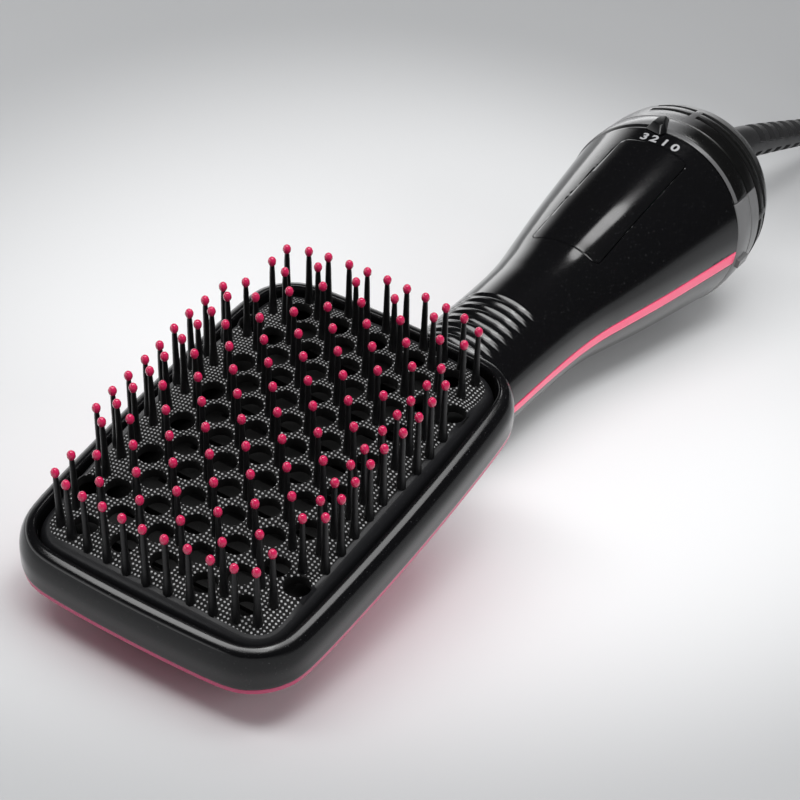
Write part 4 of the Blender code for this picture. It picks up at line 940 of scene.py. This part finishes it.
class BRUSH_OT_grip(bpy.types.Operator):
    """Spins the grip shells, with the finger grooves and the opening for the panel"""
    bl_idname = "brush.grip"
    bl_label = "Grip"

    def execute(self, context):
        sizes = context.scene.brush_sizes
        depth, edge = sizes.groove_depth / MM, sizes.edge_round / MM
        work = grip_skin(depth)
        trimmed(work, (0, STRIPE_TOP - SEAM, 0), (0, 1, 0))
        welded(work)
        bmesh.ops.delete(work, geom=inside_outline(work, panel_outline(SEAM / 2)), context="FACES")
        walled(work, SKIN_WALL)
        broken_edges(work, edge)
        piece("grip_top", work, ["grip_gloss"], GRIP, "brush", ["grip_top_shell"], 30.0)

        work = grip_skin(0.0)
        trimmed(work, (0, STRIPE_TOP - SEAM, 0), (0, 1, 0))
        welded(work)
        kept = set(inside_outline(work, panel_outline(-SEAM / 2)))
        bmesh.ops.delete(work, geom=[face for face in work.faces if face not in kept], context="FACES")
        walled(work, PANEL_WALL)
        broken_edges(work, edge)
        piece("grip_panel", work, ["panel_gloss"], GRIP, "brush", ["top_panel"], 30.0)

        front, rear = GRIP_SKIN[-1][1], GRIP_SKIN[0][1]
        slope = (STRIPE_WIDE - STRIPE_NARROW) / (rear - front)
        below = Vector((0, STRIPE_TOP + STRIPE_WIDE, rear))
        work = bmesh.new()
        spun(work, grip_line(True))
        trimmed(work, below + Vector((0, SEAM, 0)), (0, -1, slope))
        walled(work, SKIN_WALL)
        broken_edges(work, edge)
        piece("grip_belly", work, ["grip_gloss"], GRIP, "brush", ["grip_bottom_shell"], 30.0)

        for side, name in ((1, "right"), (-1, "left")):
            work = bmesh.new()
            spun(work, grip_line(True, STRIPE_PROUD))
            trimmed(work, (0, STRIPE_TOP, 0), (0, -1, 0))
            trimmed(work, below, (0, 1, -slope))
            trimmed(work, (0, 0, 0), (-side, 0, 0))
            walled(work, SKIN_WALL)
            broken_edges(work, edge)
            piece("stripe_" + name, work, ["stripe_pink"], GRIP, "brush", ["side_stripe_" + name],
                  30.0)
        return {"FINISHED"}


class BRUSH_OT_marks(bpy.types.Operator):
    """Prints the setting numbers on the grip beside the dial"""
    bl_idname = "brush.marks"
    bl_label = "Setting marks"

    def execute(self, context):
        work = bmesh.new()
        for letter, turn in zip(MARKS, MARK_TURNS):
            line = bpy.data.curves.new("mark", "FONT")
            line.body, line.size = letter, MARK_TALL / FIGURE_SHARE
            line.align_x, line.align_y = "CENTER", "CENTER"
            line.extrude, line.offset = MARK_RAISED, FIGURE_BOLD
            drawn = bpy.data.objects.new("mark", line)
            context.scene.collection.objects.link(drawn)
            context.view_layer.update()
            shape = bpy.data.meshes.new_from_object(drawn.evaluated_get(context.evaluated_depsgraph_get()))
            bpy.data.objects.remove(drawn, do_unlink=True)
            before = len(work.verts)
            copied(work, shape)
            work.verts.ensure_lookup_table()
            for vert in work.verts[before:]:
                across, along, up = vert.co
                station = MARK_AT + along
                radius = self.skin_radius(station) + up
                angle = math.radians(turn) + across / radius
                vert.co = (radius * math.sin(angle), -radius * math.cos(angle), station)
        bmesh.ops.remove_doubles(work, verts=work.verts, dist=MM)
        bmesh.ops.recalc_face_normals(work, faces=work.faces)
        piece("setting_marks", work, ["mark_white"], GRIP, "brush", [], 30.0)
        return {"FINISHED"}

    def skin_radius(self, station):
        for (r0, s0), (r1, s1) in zip(grip_line(), grip_line()[1:]):
            if s1 <= station <= s0:
                return r0 + (r1 - r0) * (s0 - station) / (s0 - s1)
        raise ValueError("the mark is off the grip")


# Collar
def polar_box(work, turn, half, near, far, low, high):
    made = bmesh.ops.create_cube(work, size=1.0)["verts"]
    bmesh.ops.scale(work, vec=(2 * half, high - low, far - near), verts=made)
    bmesh.ops.translate(work, vec=(0, -(high + low) / 2, (far + near) / 2), verts=made)
    bmesh.ops.rotate(work, cent=(0, 0, 0), matrix=Matrix.Rotation(math.radians(turn), 3, "Z"), verts=made)


class BRUSH_OT_dial(bpy.types.Operator):
    """Turns the two sectors of the dial ring, with the pointer and the thumb ribs"""
    bl_idname = "brush.dial"
    bl_label = "Dial"

    def execute(self, context):
        sectors = (("dial_upper", "dial_ring_upper", "dial_gloss", "gloss_black", DIAL_FROM, DIAL_TO),
                   ("dial_lower", "dial_ring_lower", "dial_satin", "satin_black", DIAL_TO, DIAL_FROM + 360))
        for name, node, finish, slot, first, last in sectors:
            first, last = first + DIAL_GAP, last - DIAL_GAP
            work = bmesh.new()
            spun(work, RING + RING[:1], round((last - first) / RING_TURN_STEP), first, last)
            bmesh.ops.remove_doubles(work, verts=work.verts, dist=MEET)
            bmesh.ops.holes_fill(work, edges=[edge for edge in work.edges if edge.is_boundary], sides=0)
            welded(work)
            broken_edges(work, COLLAR_EDGE, 60.0)
            if node == "dial_ring_lower":
                half, near, far, low, high = THUMB
                for turn in THUMB_TURNS:
                    polar_box(work, turn, half, near, far, low, high)
            # On the upper ring's front chamfer the grey right of the pointer is a painted highlight; left of it the
            # chamfer is black.
            for face in work.faces:
                middle = face.calc_center_median()
                if node == "dial_ring_upper" and middle.z < RING_RIM and middle.xy.length > GRIP_SKIN[0][0]:
                    face.material_index = 1 if math.degrees(math.atan2(middle.x, -middle.y)) > POINTER_TURN else 2
            piece(name, work, [finish, "rim_grey", "pointer_black"], GRIP, "dial", [node], 35.0)
        work = bmesh.new()
        verts = [work.verts.new((x, -POINTER_LOW, s)) for x, s in POINTER]
        base = work.faces.new(verts)
        top = bmesh.ops.extrude_face_region(work, geom=[base])["geom"]
        for vert in verts_in(top):
            vert.co.x, vert.co.z = [at + (reach - at) * RIDGE_SHARE for at, reach in zip(RIDGE, vert.co.xz)]
            vert.co.y = -POINTER_HIGH
        turned = Matrix.Rotation(math.radians(POINTER_TURN), 3, "Z")
        bmesh.ops.rotate(work, cent=(0, 0, 0), matrix=turned, verts=work.verts)
        welded(work)
        broken_edges(work, POINTER_EDGE, 30.0, 3)
        piece("dial_pointer", work, ["pointer_black"], GRIP, "dial", ["dial_ring_upper"], 35.0)
        return {"FINISHED"}


class BRUSH_OT_cap(bpy.types.Operator):
    """Spins the rear cap, opens its two rows of slots and adds the swivel"""
    bl_idname = "brush.cap"
    bl_label = "Rear cap"

    def execute(self, context):
        work = bmesh.new()
        line = []
        for first, second in zip(CAP, CAP[1:]):
            line.append(first)
            if first[1] >= VENT_ROWS[1][1] and second[1] < CAP[-2][1]:
                line.append(tuple((a + b) / 2 for a, b in zip(first, second)))
        line.append(CAP[-1])
        spun(work, line, CAP_STEPS)
        welded(work)
        slots = []
        for face in work.faces:
            middle = face.calc_center_median()
            turn = (math.degrees(math.atan2(middle.x, -middle.y)) - VENT_BRIDGES[0][0]) % 360 + VENT_BRIDGES[0][0]
            bridged = any(first < turn < last for first, last in VENT_BRIDGES)
            in_row = any(low < middle.z < high for low, high in VENT_ROWS)
            face.material_index = int(middle.z < VENT_ROWS[0][0] and DIAL_TO < turn < DIAL_FROM + 360)
            if middle.xy.length > CAP_FLANK and in_row and not bridged:
                slots.append(face)
        bmesh.ops.delete(work, geom=slots, context="FACES")
        walled(work, CAP_WALL)
        broken_edges(work, COLLAR_EDGE)
        # Inward-facing faces round the vents take the dark finish, painted shade in the slots.
        for face in work.faces:
            middle = face.calc_center_median()
            vented = middle.z > VENT_ROWS[0][0] - CAP_WALL and middle.xy.length > CAP_FLANK
            if vented and face.normal.xy.dot(middle.xy.normalized()) < 0.5:
                face.material_index = 2
        piece("cap", work, ["cap_gloss", "dial_satin", "cavity_black"], GRIP, "brush", ["rear_cap"],
              35.0)
        work = bmesh.new()
        spun(work, [(0.0, SWIVEL[0][1])] + SWIVEL + [(0.0, SWIVEL[-1][1])], SWIVEL_STEPS)
        welded(work)
        piece("swivel", work, ["lead_rubber"], GRIP, "lead_swivel", ["cord_swivel"], 35.0)
        return {"FINISHED"}


# Lead
def upright(station, rise):
    return GRIP @ Vector((0, -rise, station)) / MM


def ring_point(turns, radius, height):
    angle = math.pi - TURN * turns
    return Vector((HANK_X + radius * math.cos(angle), HANK_Y + radius * math.sin(angle), height))


def lead_path():
    """The points of part.py's route, from the end of the strain relief to the plug."""
    end, before = upright(*RELIEF_PATH[-1]), upright(*RELIEF_PATH[-2])
    points = [end + (end - before).normalized() * SEAM]
    points += [Vector((x, y + SHIFT, z)) for x, y, z in CORD_PATH]
    turns, height, radius, step = 0.0, HANK_LOW, HANK_OUT, -HANK_PITCH / HANK_POINTS
    spiral, climb = round(HANK_TURNS * HANK_POINTS), round(HANK_CLIMB * HANK_POINTS)
    for layer in range(HANK_LAYERS):
        for _ in range(spiral):
            points.append(ring_point(turns, radius, height))
            turns += 1 / HANK_POINTS
            radius += step
        if layer == HANK_LAYERS - 1:
            break
        for index in range(climb):
            points.append(ring_point(turns, radius, height + HANK_RISE * (1 - math.cos(math.pi * index / climb)) / 2))
            turns += 1 / HANK_POINTS
        height += HANK_RISE
        step = -step
    points.append(ring_point(turns, radius, height))
    for radius, rise in HANK_EXIT:
        turns += 1 / HANK_POINTS
        points.append(ring_point(turns, radius, height + rise))
    angle = math.pi - TURN * turns
    way, inward = Vector((math.sin(angle), -math.cos(angle), 0)), Vector((-math.cos(angle), -math.sin(angle), 0))
    end = Vector((*points[-1].xy, height))
    return points + [end + way * ahead + inward * aside + Vector((0, 0, rise)) for ahead, aside, rise in TAIL]


class BRUSH_OT_lead(bpy.types.Operator):
    """Lays the mains lead and its coil, with the tie, the plug and the strain relief"""
    bl_idname = "brush.lead"
    bl_label = "Lead"

    def execute(self, context):
        path = lead_path()
        line = bpy.data.curves.new("lead", "CURVE")
        line.dimensions = "3D"
        line.bevel_depth = CORD_R * MM
        line.bevel_resolution = 5
        line.use_fill_caps = True
        spline = line.splines.new("POLY")
        spline.points.add(len(path) - 1)
        for point, place in zip(spline.points, path):
            point.co = (*(place * MM), 1)
        spline.use_smooth = True
        lead = bpy.data.objects.new("lead", line)
        context.scene.collection.objects.link(lead)
        line.materials.append(look("lead_rubber"))
        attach(lead, "brush")
        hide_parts("cord", "cord_hank")
        plug, tie = self.plug(), self.tie(path)
        self.relief()
        return {"FINISHED"}

    def plug(self):
        work = bmesh.new()
        low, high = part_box("plug_body")
        made = bmesh.ops.create_cube(work, size=1.0)["verts"]
        size = (high - low) / MM
        bmesh.ops.scale(work, vec=size, verts=made)
        bmesh.ops.translate(work, vec=(low + high) / 2 / MM, verts=made)
        bmesh.ops.bevel(work, geom=work.edges[:], offset=PLUG_ROUND, offset_type="OFFSET", affect="EDGES", segments=5,
                        profile=0.5, material=-1, clamp_overlap=True)
        welded(work)
        return piece("plug", work, ["lead_rubber"], ROOM, "brush", ["plug_body"], 40.0)

    def tie(self, path):
        """A flat strap round the far side of the coil."""
        held = [point for point in path if abs(point.x - HANK_X) < TIE_REACH and point.y > HANK_Y]
        near = min(point.y for point in held) - CORD_R - TIE_ROOM
        far = max(point.y for point in held) + CORD_R + TIE_ROOM
        high = max(point.z for point in held) + CORD_R + TIE_ROOM
        middle = Vector((HANK_X, (near + far) / 2, (high + TIE_LOW) / 2))
        loop = outline((far - near) / 2, (high - TIE_LOW) / 2, TIE_CORNER)
        work = bmesh.new()
        lofted(work, [[middle + Vector((side, y, z)) for y, z in loop] for side in (TIE_HALF, -TIE_HALF)])
        walled(work, TIE_THICK)
        return piece("lead_tie", work, ["lead_rubber"], ROOM, "brush", [], 40.0)

    def relief(self):
        """A drooping sleeve, slotted above and below between ribs that a band joins on each side."""
        first, last = RELIEF_PATH[0][0], RELIEF_PATH[-1][0]
        slots = [RIB_FIRST + index * RIB_PITCH for index in range(RIBS)]
        ends = (slots[0] - RIB_HALF, slots[-1] + RIB_HALF)
        cuts = sorted({slot + side * RIB_HALF + lap
                       for slot in slots for side in (-1, 1) for lap in (-RIB_LAP, RIB_LAP)})
        line = eased([Vector(point) for point in RELIEF_PATH], 6)
        kept = {point.x for point in line if all(abs(point.x - cut) > RIB_CLEAR for cut in cuts)}
        stations = sorted(kept | set(cuts))
        band = [90 - RELIEF_BAND, 90 - RELIEF_BAND + BAND_EASE, 90, 90 + RELIEF_BAND - BAND_EASE, 90 + RELIEF_BAND]
        turns = sorted({side + turn for side in (0, 180) for turn in band} |
                       {side + turn for side in (0, 180) for turn in range(-60, 61, RELIEF_TURN_STEP)})
        work, rings, core = bmesh.new(), [], []
        for station in stations:
            at, way = self.on_line(line, station)
            core.append(at)
            over = way.cross(Vector((1, 0, 0)))
            full = RELIEF_RADII[0] + (RELIEF_RADII[1] - RELIEF_RADII[0]) * (station - first) / (last - first)
            sunk = ends[0] < station < ends[1] and all(abs(station - slot) > RIB_HALF for slot in slots)
            points = []
            for turn in turns:
                beside = abs((turn % 180) - 90) < RELIEF_BAND - 2
                radius = full * (RELIEF_CORE_SHARE if sunk and not beside else 1.0)
                lean = math.radians(turn)
                points.append(at + radius * (over * math.cos(lean) + Vector((1, 0, 0)) * math.sin(lean)))
            rings.append(points)
        for edges in lofted(work, rings):
            bmesh.ops.edgeloop_fill(work, edges=edges)
        welded(work)
        # Faces deep between the ribs take the dark finish, painted shade in the gaps.
        for face in work.faces:
            middle = face.calc_center_median()
            if min((middle - at).length for at in core) < RELIEF_DEEP:
                face.material_index = 1
        piece("relief", work, ["lead_rubber", "cavity_black"], ROOM, "brush", ["strain_relief"],
              35.0)

    def on_line(self, line, station):
        for low, high in zip(line, line[1:]):
            if low.x <= station <= high.x:
                start, stop = upright(*low), upright(*high)
                return start.lerp(stop, (station - low.x) / (high.x - low.x)), (stop - start).normalized()
        raise ValueError("station off the strain relief")


class BRUSH_OT_inner_parts(bpy.types.Operator):
    """Gives the parts inside the shells their finishes"""
    bl_idname = "brush.inner_parts"
    bl_label = "Inner parts"

    def execute(self, context):
        for finish, names in NODE_LOOKS.items():
            for name in names:
                slots = NODES[name].material_slots
                if not slots:
                    raise RuntimeError(name + " has no material slot")
                for slot in slots:
                    slot.material = look(finish)
        return {"FINISHED"}


STEPS = [BRUSH_OT_stage, BRUSH_OT_lead, BRUSH_OT_bumper, BRUSH_OT_plate, BRUSH_OT_pins, BRUSH_OT_back_shell,
         BRUSH_OT_grip, BRUSH_OT_marks, BRUSH_OT_dial, BRUSH_OT_cap, BRUSH_OT_inner_parts]


class BRUSH_PT_panel(bpy.types.Panel):
    bl_label = "Air brush"
    bl_space_type = "VIEW_3D"
    bl_region_type = "UI"
    bl_category = "Air brush"

    def draw(self, context):
        for label in ("black", "pink", "shell", "tip"):
            self.layout.prop(context.scene.brush_finish, label)
        for label in ("groove_depth", "edge_round"):
            self.layout.prop(context.scene.brush_sizes, label)
        for step in STEPS:
            self.layout.operator(step.bl_idname)


CLASSES = [BrushFinish, BrushSizes, *STEPS, BRUSH_PT_panel]


def register():
    for item in CLASSES:
        bpy.utils.register_class(item)
    bpy.types.Scene.brush_finish = PointerProperty(type=BrushFinish)
    bpy.types.Scene.brush_sizes = PointerProperty(type=BrushSizes)


def unregister():
    del bpy.types.Scene.brush_sizes
    del bpy.types.Scene.brush_finish
    for item in reversed(CLASSES):
        bpy.utils.unregister_class(item)


def main():
    register()
    for step in STEPS:
        group_name, call = step.bl_idname.split(".")
        getattr(getattr(bpy.ops, group_name), call)()


if __name__ == "__main__":
    main()
